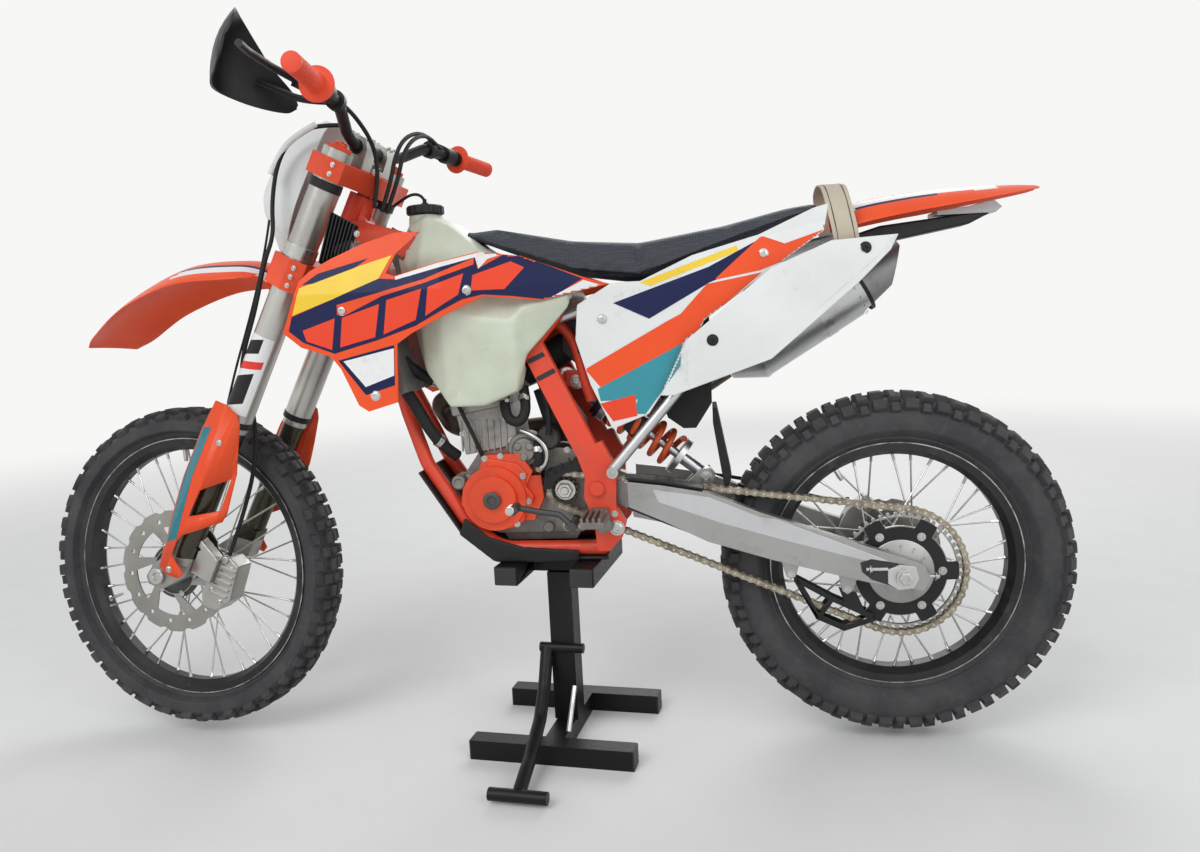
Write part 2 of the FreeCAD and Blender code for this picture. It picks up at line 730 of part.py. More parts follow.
def handlebar():
    left = bar_points(-1)
    right = bar_points(1)
    path = list(reversed(left)) + right
    bends = [60, 60, 90, 90, 60, 60]
    bar = tube(path, read("bar_radius"), bends)
    middle = rod(V(read("bar_x"), -60, read("bar_z")), V(read("bar_x"), 60, read("bar_z")), read("bar_thick"))
    return joined([bar, middle])


feature("handlebar", handlebar(), fork_frame)


def along_bar(side, from_end):
    """A point on the bar's straight end, from_end inward of its tip, and the outward direction."""
    points = bar_points(side)
    out = (points[-1] - points[-2]).normalize()
    return points[-1] - out * from_end, out


def grips():
    made = []
    for side in (-1, 1):
        tip, out = along_bar(side, -3)
        start, _ = along_bar(side, 112)
        bore = read("bar_radius") + read("leg_gap")
        rubber = rod(start, tip, read("grip_radius"))
        flange = rod(start - out * 5, start, read("grip_flange"))
        inner, _ = along_bar(side, 0)
        hole = rod(start - out * 10, inner, bore)
        made.append(joined([rubber, flange]).cut(hole))
    return Part.Compound(made)


feature("grips", grips(), fork_frame)


# mouth of a mirror's hole, seen from the middle of its perch
MIRROR_SEAT = V(-34, 0, 17)


def hand_levers():
    """Lever perches with their mirror holes, and the blades, on both sides."""
    made = []
    for side in (-1, 1):
        middle, out = along_bar(side, read("perch_from_end"))
        inner, outer = middle - out * 16, middle + out * 16
        ring = rod(inner, outer, read("bar_radius") + 7)
        body = box(middle.x - 52, middle.x - 8, middle.y - 17, middle.y + 17, middle.z - 16, middle.z + 17)
        pieces = joined([ring, body])
        pieces = pieces.cut(rod(inner - out * 40, outer + out * 40, read("bar_radius") + read("leg_gap")))
        top = middle + MIRROR_SEAT
        pieces = pieces.cut(rod(top + V(0, 0, 1), top - V(0, 0, read("mirror_depth")), read("mirror_hole")))
        # blade: x, y outward, z from the perch's middle
        line = [(-46, 8, -4), (-66, 60, -2), (-62, 130, 2), (-52, 168, 6)]
        points = [middle + V(x, side * y, up) for x, y, up in line]
        blade = tube(points, 6.5, 60)
        made.append(joined([pieces, blade]))
    return Part.Compound(made)


feature("hand_levers", hand_levers(), fork_frame)


def handguards():
    """Cupped shells ahead of the levers, each on an arm from a clamp on the bar."""
    made = []
    # one shell: y out from the middle, x of its face, z low, z high
    rows = ((205, -128, 985, 1050), (262, -160, 958, 1092), (330, -104, 962, 1088), (396, -44, 976, 1070))
    bulge, thick = 16, 4
    for side in (-1, 1):
        rings = []
        for y, x, low, high in rows:
            middle = (low + high) / 2
            rings.append([V(x + bulge, side * y, low), V(x, side * y, middle), V(x + bulge, side * y, high),
                          V(x + bulge + thick, side * y, high), V(x + thick + 1, side * y, middle),
                          V(x + bulge + thick, side * y, low)])
        shell = loft(rings)
        middle, out = along_bar(side, 186)
        clamp = rod(middle - out * 7, middle + out * 7, read("bar_radius") + 7)
        arm = tube([middle + V(-10, 0, -4), V(-60, side * 214, 1012), V(-139, side * 240, 1014)], 6, 60)
        whole = joined([shell, clamp, arm])
        made.append(whole.cut(rod(middle - out * 30, middle + out * 30, read("bar_radius") + read("leg_gap"))))
    return Part.Compound(made)


feature("handguards", handguards(), fork_frame)


def headlight_mask():
    """White mask with a blank plate above and a lamp opening below."""
    # sections along the fork: z, x front, x rear, half width
    rows = ((730, -66, -30, 70), (768, -118, -52, 92), (830, -150, -62, 100), (900, -146, -70, 98),
            (960, -112, -48, 84), (990, -98, -42, 62))
    rings = []
    for height, front, rear, half in rows:
        rings.append([V(front, -half * 0.5, height), V(front, half * 0.5, height), V(front + 22, half * 0.85, height),
                      V(rear, half, height), V(rear, -half, height), V(front + 22, -half * 0.85, height)])
    return loft(rings)


feature("headlight_mask", headlight_mask(), fork_frame)


def across_line(points):
    """The unit direction square to a line of x and z at each of its points, upward."""
    made = []
    for i in range(len(points)):
        before = points[max(i - 1, 0)]
        after = points[min(i + 1, len(points) - 1)]
        made.append(V(before[1] - after[1], 0, after[0] - before[0]).normalize())
    return made


def blade(rows, thick, share=0.7):
    """A thin curved blade: rows give x and z of its ridge, half its width, and its edges' drop."""
    ups = across_line([row[:2] for row in rows])
    rings = []
    for (x, height, half, drop), up in zip(rows, ups):
        ridge = V(x, 0, height)
        # one section: y, and how far below the ridge
        shape = ((-half, drop), (-half * share, drop * 0.3), (0, 0), (half * share, drop * 0.3), (half, drop),
                 (half - 3, drop + thick), (half * share - 2, drop * 0.3 + thick), (0, thick),
                 (2 - half * share, drop * 0.3 + thick), (3 - half, drop + thick))
        rings.append([ridge + V(0, y, 0) - up * down for y, down in shape])
    return loft(rings)


def front_fender():
    """A curved blade under the lower clamp, ridged along its middle."""
    # sections: x, z of the ridge, half width, drop of the edges
    rows = ((-417, 372, 34, 12), (-352, 490, 74, 34), (-245, 594, 96, 48), (-131, 645, 90, 40),
            (-40, 652, 60, 24), (100, 620, 52, 18))
    return blade(rows, 4)


feature("front_fender", front_fender(), fork_frame)


def fork_guards():
    """Curved shields ahead of and outside the sliding tubes."""
    made = []
    for side in (-1, 1):
        outer = leg_solid(100, 396, 37, side)
        inner = leg_solid(90, 406, 33.5, side)
        shell = outer.cut(inner)
        # what is kept, seen from the side: x, z
        kept = ((leg_x - 40, 100), (leg_x + 6, 100), (leg_x + 34, 180), (leg_x + 34, 330), (leg_x + 6, 400),
                (leg_x - 40, 400))
        window = plate(kept, side * leg_y - 40, side * leg_y + 40)
        inboard = box(leg_x - 60, leg_x + 60, *sorted((side * 40, side * (leg_y - 21))), 60, 410)
        shield = shell.common(window).cut(inboard)
        # clips that seat the shield on the tube
        clips = []
        for height in (130, 330):
            ring = leg_solid(height, height + 14, 34, side)
            ring = ring.cut(leg_solid(height - 1, height + 15, read("lower_leg_radius") + read("leg_gap"), side))
            ring = ring.cut(box(leg_x - 60, leg_x + 60, *sorted((side * 40, side * (leg_y - 4))), 60, 410))
            clips.append(ring)
        made.append(joined([shield] + clips))
    return Part.Compound(made)


feature("fork_guards", fork_guards(), fork_frame)


def front_caliper():
    """Caliper over the disc's rear edge, with its arm to the leg."""
    middle = read("front_disc_y")
    # outline of the body seen from the side: x, z
    outline = ((92, 10), (100, 84), (122, 104), (150, 96), (160, 20), (140, -14), (106, -20))
    body = plate(outline, middle - 26, middle + 20)
    slot = rod(V(0, middle - 7, 0), V(0, middle + 7, 0), read("front_disc_radius") + 6)
    arm = plate(((leg_x + 26, 40), (leg_x + 26, 92), (112, 96), (112, 40)), middle - 42, middle - 18)
    lug = plate(((leg_x + 12, 97), (leg_x + 12, 120), (104, 98), (104, 80), (62, 97)), middle - 42, middle - 18)
    leg = leg_solid(0, 200, read("lower_leg_radius") + read("seat_gap"), -1)
    return joined([body.cut(slot), arm, lug]).cut(leg)


feature("front_caliper", front_caliper(), fork_frame)


def front_axle():
    """Axle rod with spacers at both sides of the hub and its nut."""
    radius = read("front_axle_radius")
    end = 124
    pieces = [rod(V(0, -end, 0), V(0, end, 0), radius)]
    spacer = read("front_hub_half") + read("run_gap")
    for side in (-1, 1):
        pieces.append(rod(V(0, side * spacer, 0), V(0, side * (81 - read("seat_gap")), 0), 18))
    pieces.append(rod(V(0, -end, 0), V(0, -119.3, 0), 17))
    return joined(pieces)


feature("front_axle", front_axle(), fork_frame)


def brake_hose():
    """Hose from the caliper, up the left leg, to the lower clamp and the right lever."""
    points = [V(116, -86, 103.6), V(113, -88, 190), V(84, -72, 470), V(66, -70.4, 600), V(40, -70.4, 658)]
    return tube(points, 4.5, [200, 300, 200])


feature("front_brake_hose", brake_hose(), fork_frame)


# frame and chassis

def head_tube():
    axis = read("axle_offset")
    gap = 6
    low = read("lower_clamp_high") + gap
    high = read("upper_clamp_low") - gap
    outer = rod(V(axis, 0, low), V(axis, 0, high), read("head_radius"))
    inner = rod(V(axis, 0, low - 1), V(axis, 0, high + 1), read("stem_radius") + read("run_gap"))
    tube_solid = outer
    for item in (tube_solid, inner):
        item.Placement = straight_fork
    return tube_solid, inner


def skid_low():
    return read("stand_top_z") + read("seat_gap")


def shock_line():
    """Lower and upper eye of the shock absorber and the direction between them."""
    lower = V(301, 0, 538)
    upper = V(50, 0, 740)
    return lower, upper, (upper - lower).normalize()


def spar_line():
    """Left spar from the steering head to the pivot plate."""
    spar_y = read("spar_y")
    return [V(-392, -24, 1062), V(-290, -42, 1032), V(-160, -spar_y + 12, 962), V(-30, -spar_y, 836),
            V(80, -spar_y, 600)]


def main_frame():
    """Steering head, spars to the swingarm pivot, and the lower cradle."""
    head, stem_hole = head_tube()
    spar_y, half = read("spar_y"), read("spar_width") / 2
    upper = beam(spar_line(), 44, 2 * half)
    pivot_x, pivot_z = read("pivot_x"), read("pivot_z")
    low, high = -spar_y - half, -spar_y + half
    # pivot plate: x, z
    pivot_plate = plate(((52, 612), (106, 628), (131, 575), (128, 500), (146, 468), (138, 440), (112, 412),
                         (88, 412), (84, 470), (66, 520), (70, 560)), low, high)
    # lug that carries the subframe's rail: x, z
    rail_lug = plate(((-40, 850), (28, 884), (40, 866), (-20, 800)), low, high)
    floor = skid_low() + read("skid_thick") + read("seat_gap") + read("cradle_radius")
    cradle = [V(-326, -18, 790), V(-290, -52, 690), V(-252, -70, 588), V(-172, -72, 462), V(-110, -72, floor),
              V(98, -80, floor)]
    lower = tube(cradle, read("cradle_radius"), [60, 100, 120, 80])
    side = joined([upper, pivot_plate, rail_lug, lower])
    # gusset from the steering head down to the cradle tubes: x, z
    downtube = plate(((-431, 997), (-371, 966), (-336, 764), (-290, 774), (-322, 985), (-372, 1112)), -23, 23)
    brace = rod(V(94, -80, floor), V(94, 80, floor), read("cradle_radius"))
    # cross tube with the shock absorber's upper ears
    upper_eye = shock_line()[1]
    cross = rod(V(16, -spar_y, 750), V(16, spar_y, 750), 14)
    ear = plate(((10, 762), (54, 758), (66, 740), (50, 724), (10, 738)), -20, -14.3)
    whole = head.multiFuse([downtube, brace, cross] + both_sides(side) + both_sides(ear))
    pivot = rod(V(pivot_x, -130, pivot_z), V(pivot_x, 130, pivot_z), read("pivot_radius") + read("leg_gap"))
    bolt = rod(upper_eye - V(0, 30, 0), upper_eye + V(0, 30, 0), 6)
    return whole.cut(stem_hole).cut(pivot).cut(bolt)


feature("main_frame", main_frame())


def subframe():
    """Bent rails under the seat and struts down to the pivot plates."""
    spar_y = read("spar_y")
    radius = read("subframe_radius")
    inner = -spar_y + read("spar_width") / 2 + read("seat_gap") + radius
    outer = -spar_y - read("spar_width") / 2 - read("seat_gap") - radius
    rail = tube([V(0, inner, 858), V(120, -74, 890), V(400, -72, 948), V(580, -50, 996)], radius, [300, 300])
    strut = tube([V(124, outer, 572), V(246, -112, 709), V(330, -84, 808), V(440, -68, 952)], radius, [200, 200])
    side = joined([rail, strut])
    bars = [rod(V(x, -66, height), V(x, 66, height), 8) for x, height in ((410, 950), (560, 991))]
    return joined(both_sides(side) + bars)


feature("subframe", subframe())


def crankcase():
    # side outline: x, z
    outline = ((-170, 496), (-148, 456), (-118, 440), (56, 440), (64, 470), (64, 560), (48, 606), (-56, 622),
               (-150, 606), (-184, 560))
    half = read("engine_half")
    case = plate(outline, -half + 14, half)
    sump = plate(((-110, 441), (-100, 424), (40, 424), (50, 441)), -50, 50)
    pivot_x, pivot_z = read("pivot_x"), read("pivot_z")
    lug = rod(V(pivot_x, -34, pivot_z), V(pivot_x, 34, pivot_z), 22)
    web = plate(((60, 480), (60, 566), (93, 559), (93, 515)), -34, 34)
    hole = rod(V(pivot_x, -100, pivot_z), V(pivot_x, 100, pivot_z), read("pivot_radius") + read("leg_gap"))
    return joined([case, sump, lug, web]).cut(hole)


feature("crankcase", crankcase())


def cylinder_head():
    """Cylinder and head, leaned forward a little, with the cam cover on top."""
    lean = FreeCAD.Placement(V(-118, 0, 600), FreeCAD.Rotation(V(0, 1, 0), -10))
    pieces = [
        box(-56, 56, -62, 62, 6, 96),
        box(-62, 62, -70, 70, 94, 168),
        box(-56, 56, -62, 62, 166, 200),
    ]
    barrel = joined(pieces)
    barrel.Placement = lean
    return barrel.cut(plate(((-260, 590), (-260, 500), (100, 500), (100, 598), (-56, 622.5), (-150, 606.5)), -90, 90))


feature("cylinder", cylinder_head())


def ignition_cover():
    """Stepped cover over the left crankcase with its round plug."""
    outer = -read("engine_half") + 14 - read("seat_gap")
    low = rod(V(-114, outer, 519), V(-114, outer - 42, 519), 64)
    neck = plate(((-150, 560), (-132, 604), (-60, 606), (-36, 570), (-52, 540)), outer - 30, outer)
    tail = plate(((-60, 560), (-22, 560), (-18, 516), (-40, 470), (-70, 470)), outer - 20, outer)
    cap = rod(V(-114, outer - 42, 519), V(-114, outer - 52, 519), 46)
    plug = rod(V(-114, outer - 52, 519), V(-114, outer - 57, 519), 17)
    return joined([low, neck, tail, cap, plug])


feature("ignition_cover", ignition_cover())


def clutch_cover():
    inner = read("engine_half") + read("seat_gap")
    wide = rod(V(-30, inner, 520), V(-30, inner + 34, 520), 72)
    cap = rod(V(-30, inner + 34, 520), V(-30, inner + 44, 520), 58)
    pump = rod(V(-134, inner, 492), V(-134, inner + 22, 492), 26)
    return joined([wide, cap, pump])


feature("clutch_cover", clutch_cover())


def intake():
    """Throttle body and the air box behind it, over the shock absorber."""
    body = rod(V(-60, 0, 760), V(70, 0, 830), 30)
    # side outline of the air box: x, z
    box_outline = ((62, 796), (60, 866), (150, 892), (318, 900), (318, 690), (286, 642), (262, 642), (232, 664),
                   (200, 770))
    return joined([body, plate(box_outline, -60, 60)])


feature("intake", intake())


def fork_sweep():
    """Room that the fork's legs need when they turn about the steering axis."""
    across = leg_x - read("axle_offset")
    reach = math.hypot(across, leg_y) + read("upper_leg_radius") + read("moving_gap")
    room = rod(V(read("axle_offset"), 0, 300), V(read("axle_offset"), 0, 900), reach)
    room.Placement = straight_fork
    return room


def radiators():
    """A radiator on each side behind the fork, with its louvre."""
    made = []
    for side in (-1, 1):
        core = box(-20, 20, -52, 52, -150, 150)
        core.Placement = FreeCAD.Placement(V(-312, side * 112, 880), FreeCAD.Rotation(V(0, 1, 0), -16.8))
        made.append(core.cut(fork_sweep()))
    return Part.Compound(made)


feature("radiators", radiators())


def seat():
    # sections from front to back: x, z low, z high, half width low, half width high
    rows = ((-158, 1038, 1056, 40, 36), (-110, 1018, 1046, 66, 52), (60, 950, 1010, 92, 70), (190, 930, 999, 104, 84),
            (350, 988, 1021, 108, 88), (470, 1028, 1047, 96, 80), (540, 1046, 1056, 70, 60))
    rings = []
    for x, low, high, wide, narrow in rows:
        rings.append([V(x, -wide, low), V(x, -wide, low + 8), V(x, -narrow, high - 6), V(x, -narrow * 0.5, high),
                      V(x, narrow * 0.5, high), V(x, narrow, high - 6), V(x, wide, low + 8), V(x, wide, low)])
    return loft(rings)


feature("seat", seat())


def fuel_tank():
    """Tank over the engine: low cheeks outside the frame and a narrow top between the shrouds."""
    # sections from front to back: x, z low, z high, half width of the cheek, half width of the top
    rows = ((-292, 985, 1036, 44, 28), (-266, 890, 1066, 80, 48), (-226, 775, 1083, 142, 62),
            (-180, 706, 1064, 158, 70), (-112, 706, 1008, 160, 74), (-46, 732, 972, 158, 76),
            (-26, 800, 962, 150, 78), (60, 884, 930, 134, 78))
    rings = []
    for x, low, high, wide, narrow in rows:
        middle = low + (high - low) * 0.55
        rings.append([V(x, -wide * 0.84, low), V(x, -wide, middle), V(x, -narrow, high - 10), V(x, -narrow * 0.6, high),
                      V(x, narrow * 0.6, high), V(x, narrow, high - 10), V(x, wide, middle), V(x, wide * 0.84, low)])
    whole = loft(rings)
    # channels for the head, the frame and what lies between the spars
    tunnel = plate(((-330, 560), (-330, 940), (-226, 960), (-160, 905), (80, 905), (80, 560)), -84, 84)
    gap = 6
    spar = beam(spar_line(), 44 + 2 * gap, read("spar_width") + 2 * gap)
    lug = box(-60, 90, -read("spar_y") - 18, -read("spar_y") + 18, 780, 900)
    saddle = seat()
    saddle.translate(V(0, 0, -read("seat_gap")))
    neck = rod(V(CAP_X, 0, 1040), V(CAP_X, 0, CAP_Z), 34)
    whole = joined([whole.cut(tunnel), neck])
    return whole.cut(joined(both_sides(spar))).cut(lug).cut(mirrored(lug)).cut(saddle)


CAP_X = -242.0
CAP_Z = 1084.0
feature("fuel_tank", fuel_tank())
feature("fuel_cap", rod(V(CAP_X, 0, CAP_Z + read("seat_gap")), V(CAP_X, 0, CAP_Z + 20), 38))

# left shroud seen from the side: x, z
SHROUD = ((-184, 1035), (-249, 1036), (-308, 1019), (-369, 995), (-411, 974), (-432, 956), (-469, 863), (-436, 835),
          (-380, 816), (-362, 792), (-333, 723), (-315, 711), (-259, 726), (-253, 834), (-224, 852), (-154, 886),
          (-90, 913), (12, 901), (136, 925), (96, 937), (-22, 983), (-99, 994))


def shroud_y(x, height):
    """How far out the shroud lies: it flares forward and closes to the seat."""
    return 200 - max(0.0, (x + 200)) * 0.24 - max(0.0, height - 930) * 0.18


def curved_panel(outline, thick, y_at, cells):
    """A panel of even thickness on a gently bent sheet, cut to its side outline.

    y_at gives the sheet's distance from the middle plane; cells splits x and z into strips.
    """
    x_low = min(x for x, _ in outline) - 5
    x_high = max(x for x, _ in outline) + 5
    z_low = min(height for _, height in outline) - 5
    z_high = max(height for _, height in outline) + 5
    across, up = cells
    rings = []
    for i in range(across + 1):
        x = x_low + (x_high - x_low) * i / across
        heights = [z_low + (z_high - z_low) * j / up for j in range(up + 1)]
        outer = [V(x, -y_at(x, height), height) for height in heights]
        inner = [V(x, -y_at(x, height) + thick, height) for height in reversed(heights)]
        rings.append(outer + inner)
    sheet_solid = loft(rings)
    return sheet_solid.common(plate(outline, -400, 0))


def shrouds():
    panel = curved_panel(SHROUD, 5, shroud_y, (4, 3))
    return Part.Compound(both_sides(panel))


feature("shrouds", shrouds())


def swingarm():
    """Two tapered beams behind the frame, joined by a cross member between the chain's runs."""
    inner, thick = read("arm_inner"), read("arm_thick")
    # side outline of a beam: x, z
    beam_solid = plate(((152, 549), (219, 540), (306, 524), (401, 484), (572, 422), (700, 378), (712, 352),
                        (700, 328), (595, 346), (420, 392), (302, 429), (219, 470), (152, 500)),
                       -inner - thick, -inner)
    cross = plate(((150, 530), (262, 514), (296, 470), (270, 452), (160, 476)), -inner - 2, inner + 2)
    pivot_x, pivot_z = read("pivot_x"), read("pivot_z")
    boss = rod(V(pivot_x, -60, pivot_z), V(pivot_x, -34.3, pivot_z), 22)
    arm = plate(((93, 559), (160, 530), (160, 476), (93, 515)), -60, -34.3)
    # ear beside the shock absorber's lower eye
    lower_eye = shock_line()[0]
    ear = plate(((250, 515), (288, 552), (308, 556), (320, 538), (312, 520), (290, 480)), -24, -14.3)
    whole = joined([cross] + both_sides(beam_solid) + both_sides(boss) + both_sides(arm) + both_sides(ear))
    axle_x, axle_z = read("rear_axle_x"), read("rear_axle_z")
    axle = rod(V(axle_x, -130, axle_z), V(axle_x, 130, axle_z), read("rear_axle_radius") + read("leg_gap"))
    pivot = rod(V(pivot_x, -130, pivot_z), V(pivot_x, 130, pivot_z), read("pivot_radius") + read("leg_gap"))
    bolt = rod(lower_eye - V(0, 30, 0), lower_eye + V(0, 30, 0), 6)
    return whole.cut(axle).cut(pivot).cut(bolt)


feature("swingarm", swingarm())


def rear_axle():
    """Axle with spacers between the hub and the swingarm, and its nuts."""
    radius = read("rear_axle_radius")
    reach = read("arm_inner") + read("arm_thick")
    pieces = [rod(V(0, -reach - 12, 0), V(0, reach + 12, 0), radius)]
    for side in (-1, 1):
        inner = read("rear_hub_half") + read("run_gap")
        outer = read("arm_inner") - read("seat_gap")
        pieces.append(rod(V(0, side * inner, 0), V(0, side * outer, 0), 20))
        pieces.append(rod(V(0, side * (reach + read("seat_gap")), 0), V(0, side * (reach + 12), 0), 17))
    return joined(pieces)


feature("rear_axle", rear_axle(), rear_frame)


def pivot_bolt():
    """Swingarm's pivot bolt through both pivot plates, with its heads."""
    x, height = read("pivot_x"), read("pivot_z")
    face = read("spar_y") + read("spar_width") / 2 + read("seat_gap")
    shaft = rod(V(x, -face - 8, height), V(x, face + 8, height), read("pivot_radius"))
    heads = [rod(V(x, side * face, height), V(x, side * (face + 8), height), 14) for side in (-1, 1)]
    return joined([shaft] + heads)


feature("pivot_bolt", pivot_bolt())


# body panels

# left side panel and the white guard behind it, seen from the side: x, z
SIDE_PANEL = ((73, 889), (137, 925), (194, 927), (291, 969), (413, 1000), (511, 1042), (540, 1050), (530, 1000),
              (432, 935), (310, 850), (267, 774), (200, 680), (130, 653), (92, 738), (67, 824))
REAR_GUARD = ((274, 814), (432, 938), (540, 981), (660, 987), (645, 959), (586, 903), (428, 774), (248, 714),
              (225, 715))


def side_y(x, height):
    """Side panel's distance from the middle plane: fullest above the footpegs."""
    return 128 - abs(x - 230) * 0.06 - max(0.0, height - 900) * 0.12


def guard_y(x, height):
    return 142 - max(0.0, x - 420) * 0.12 - max(0.0, height - 900) * 0.08


def side_panels():
    panel = curved_panel(SIDE_PANEL, 5, side_y, (4, 3))
    guard = curved_panel(REAR_GUARD, 4, guard_y, (4, 3))
    return Part.Compound(both_sides(panel) + [guard])


feature("side_panels", side_panels())


def rear_fender():
    """Upturned tail blade behind the seat."""
    # sections: x, z of the ridge, half width, drop of the edges
    rows = ((552, 1044, 66, 44), (605, 1058, 78, 46), (751, 1072, 76, 40), (860, 1071, 62, 22), (928, 1066, 34, 8))
    return blade(rows, 4)


feature("rear_fender", rear_fender())


def tail():
    """Under-tail with its lamp, below the fender."""
    outline = ((576, 990), (640, 1008), (800, 1022), (838, 1020), (800, 1002), (640, 976), (582, 966))
    return plate(outline, -37, 37)


feature("tail_lamp", tail())


def exhaust_header():
    """Header from the head's front, round the engine's right side, to the silencer."""
    points = [V(-212, 0, 718), V(-244, 10, 702), V(-238, 86, 640), V(-120, 132, 628), V(40, 138, 640),
              V(190, 148, 668), V(300, 160, 704), V(352, read("silencer_y"), 737)]
    return tube(points, read("header_radius"), [24, 40, 70, 300, 300, 200])


feature("exhaust_header", exhaust_header())


def silencer():
    """Straight can with a slash-cut end cap and its outlet."""
    start = V(354, read("silencer_y"), 738)
    end = V(716, read("silencer_y"), 959)
    along = (end - start).normalize()
    can = rod(start + along * 60, end, read("silencer_radius"))
    cone = Part.makeCone(read("header_radius") + 4, read("silencer_radius"), 60, start, along)
    whole = joined([cone, can])
    # what the slanted end takes away: x, z
    away = plate(((760, 1030), (752, 880), (640, 880), (735, 1030)), 60, 270)
    back = plate(((716, 1040), (733, 1040), (790, 900), (640, 800), (640, 850), (690, 900)), 60, 270)
    outlet = rod(end - along * 120, end + along * 10, 20)
    return whole.cut(back).cut(outlet)


feature("silencer", silencer())


def skid_plate():
    """Floor under the cradle with a raised nose and side lips."""
    low = skid_low()
    thick = read("skid_thick")
    # underside and upper face from the nose to the back: x, z
    outer = [(-267, 575), (-188, 449), (-122, 394), (-112, low), (108, low)]
    inner = [(-262, 577.5), (-184, 453), (-120.5, 403), (-110, low + thick), (108, low + thick)]
    floor = plate(outer + inner[::-1], -96, 96)
    # side lip: x, z
    lip = plate(((-188, 449), (-122, 394), (-112, low), (50, low), (50, low + 22), (-60, low + 30),
                 (-130, low + 52), (-176, low + 92)), -103, -95)
    return joined([floor] + both_sides(lip))


feature("skid_plate", skid_plate())


def chain_guide():
    """Guide round the chain's lower run, hung from the left beam."""
    inner = read("arm_inner")
    # side outline: x, z
    outline = ((455, 376), (476, 372), (490, 348), (552, 326), (560, 350), (580, 344), (578, 320), (613, 268),
               (608, 246), (540, 236), (470, 286), (452, 340))
    outer_plate = plate(outline, -inner + read("seat_gap"), -inner + 5)
    inner_plate = plate(outline[:4] + ((552, 300),) + outline[7:], -61, -57)
    under = plate(((470, 286), (540, 236), (556, 238), (556, 246), (546, 256), (480, 288)), -inner + 1, -58)
    over = plate(((478, 336), (548, 306), (548, 296), (478, 324)), -inner + 1, -58)
    return joined([outer_plate, inner_plate, under, over])


feature("chain_guide", chain_guide())


def shock_absorber():
    """Damper with its eyes, spring seats and remote reservoir."""
    lower, upper, along = shock_line()
    shaft = rod(lower, upper, 9)
    body = rod(lower + along * 150, upper - along * 34, 24)
    low_seat = rod(lower + along * 60, lower + along * 72, 40)
    high_seat = rod(lower + along * 236, lower + along * 250, 40)
    eyes = [rod(end - V(0, 14, 0), end + V(0, 14, 0), 17) for end in (lower, upper)]
    neck = rod(lower, lower + along * 62, 13)
    return joined([shaft, body, low_seat, high_seat, neck] + eyes)


feature("shock_absorber", shock_absorber())


def shock_spring():
    """Coils between the seats, drawn as a helix of round wire."""
    lower, upper, along = shock_line()
    start = lower + along * (72 + read("shock_wire") + 0.4)
    height = 236 - 72 - 2 * read("shock_wire") - 0.8
    turns = 6
    helix = Part.makeHelix(height / turns, height, read("shock_spring_radius"))
    ring = Part.Wire([Part.makeCircle(read("shock_wire"), V(read("shock_spring_radius"), 0, 0), V(0, 1, 0))])
    coil = Part.Wire(helix.Edges).makePipeShell([ring], True, True)
    coil.Placement = FreeCAD.Placement(start, FreeCAD.Rotation(V(0, 0, 1), along))
    return coil


feature("shock_spring", shock_spring())


def footpegs():
    made = []
    inner = read("spar_y") + 13 + read("seat_gap")
    peg = box(72, 116, -214, -inner - 20, 482, 494)
    teeth = [box(72 + 11 * i, 77 + 11 * i, -212, -inner - 24, 490, 502) for i in range(4)]
    hanger = plate(((80, 500), (112, 500), (122, 460), (96, 452)), -inner - 24, -inner)
    whole = joined([peg, hanger] + teeth)
    return Part.Compound(both_sides(whole))


feature("footpegs", footpegs())


def foot_levers():
    """Gear lever on the left and brake pedal on the right."""
    shaft = rod(V(44, -56.5, 468), V(44, -136, 468), 9)
    arm = tube([V(43, -127, 469), V(20, -128, 492), V(-20, -136, 500), V(-62, -146, 512)], 6, [20, 60])
    tip = rod(V(-60, -138, 511), V(-60, -176, 511), 9)
    gear = joined([shaft, arm, tip])
    face = read("spar_y") + read("spar_width") / 2 + read("seat_gap")
    pivot = rod(V(74, face, 468), V(74, 126, 468), 12)
    pedal_arm = tube([V(74, 120, 468), V(0, 128, 450), V(-96, 134, 462)], 7, 120)
    pad_solid = box(-128, -90, 118, 150, 458, 470)
    pedal = joined([pivot, pedal_arm, pad_solid])
    return Part.Compound([gear, pedal])


feature("foot_levers", foot_levers())


def rear_caliper():
    """Caliper on its bracket above the front of the rear disc, in the wheel's frame."""
    middle = read("rear_disc_y")
    outline = ((-106, 40), (-78, 92), (-40, 122), (-20, 104), (-44, 66), (-80, 24))
    body = plate(outline, middle - 16, read("arm_inner") - read("seat_gap"))
    slot = rod(V(0, middle - 7, 0), V(0, middle + 7, 0), read("rear_disc_radius") + 6)
    return body.cut(slot)


feature("rear_caliper", rear_caliper(), rear_frame)


def mud_flap():
    return plate(((318.4, 650), (318.4, 680), (327, 680), (352, 543), (343, 521), (337, 523)), -58, 58)


feature("mud_flap", mud_flap())


def lift_strap():
    """Webbing loop over the fender, standing off it as a hand loop."""
    # half section seen from behind: y, z
    outer = ((0, 1092), (46, 1086), (84, 1062), (98, 1010), (92, 976))
    inner = ((88, 978), (94, 1010), (80, 1058), (44, 1081), (0, 1087))
    half = list(outer) + list(inner)
    left = [(-y, height) for y, height in outer[1:]][::-1]
    left_inner = [(-y, height) for y, height in inner[:-1]]
    points = left + list(outer) + list(inner) + left_inner[::-1]
    face = Part.Face(ring_of([V(540, y, height) for y, height in points]))
    return face.extrude(V(46, 0, 0))


feature("lift_strap", lift_strap())


# paddock stand, turned a little under the bike

stand_frame = FreeCAD.Placement(V(0, read("stand_y"), 0), FreeCAD.Rotation(V(0, 0, 1), read("stand_yaw")))


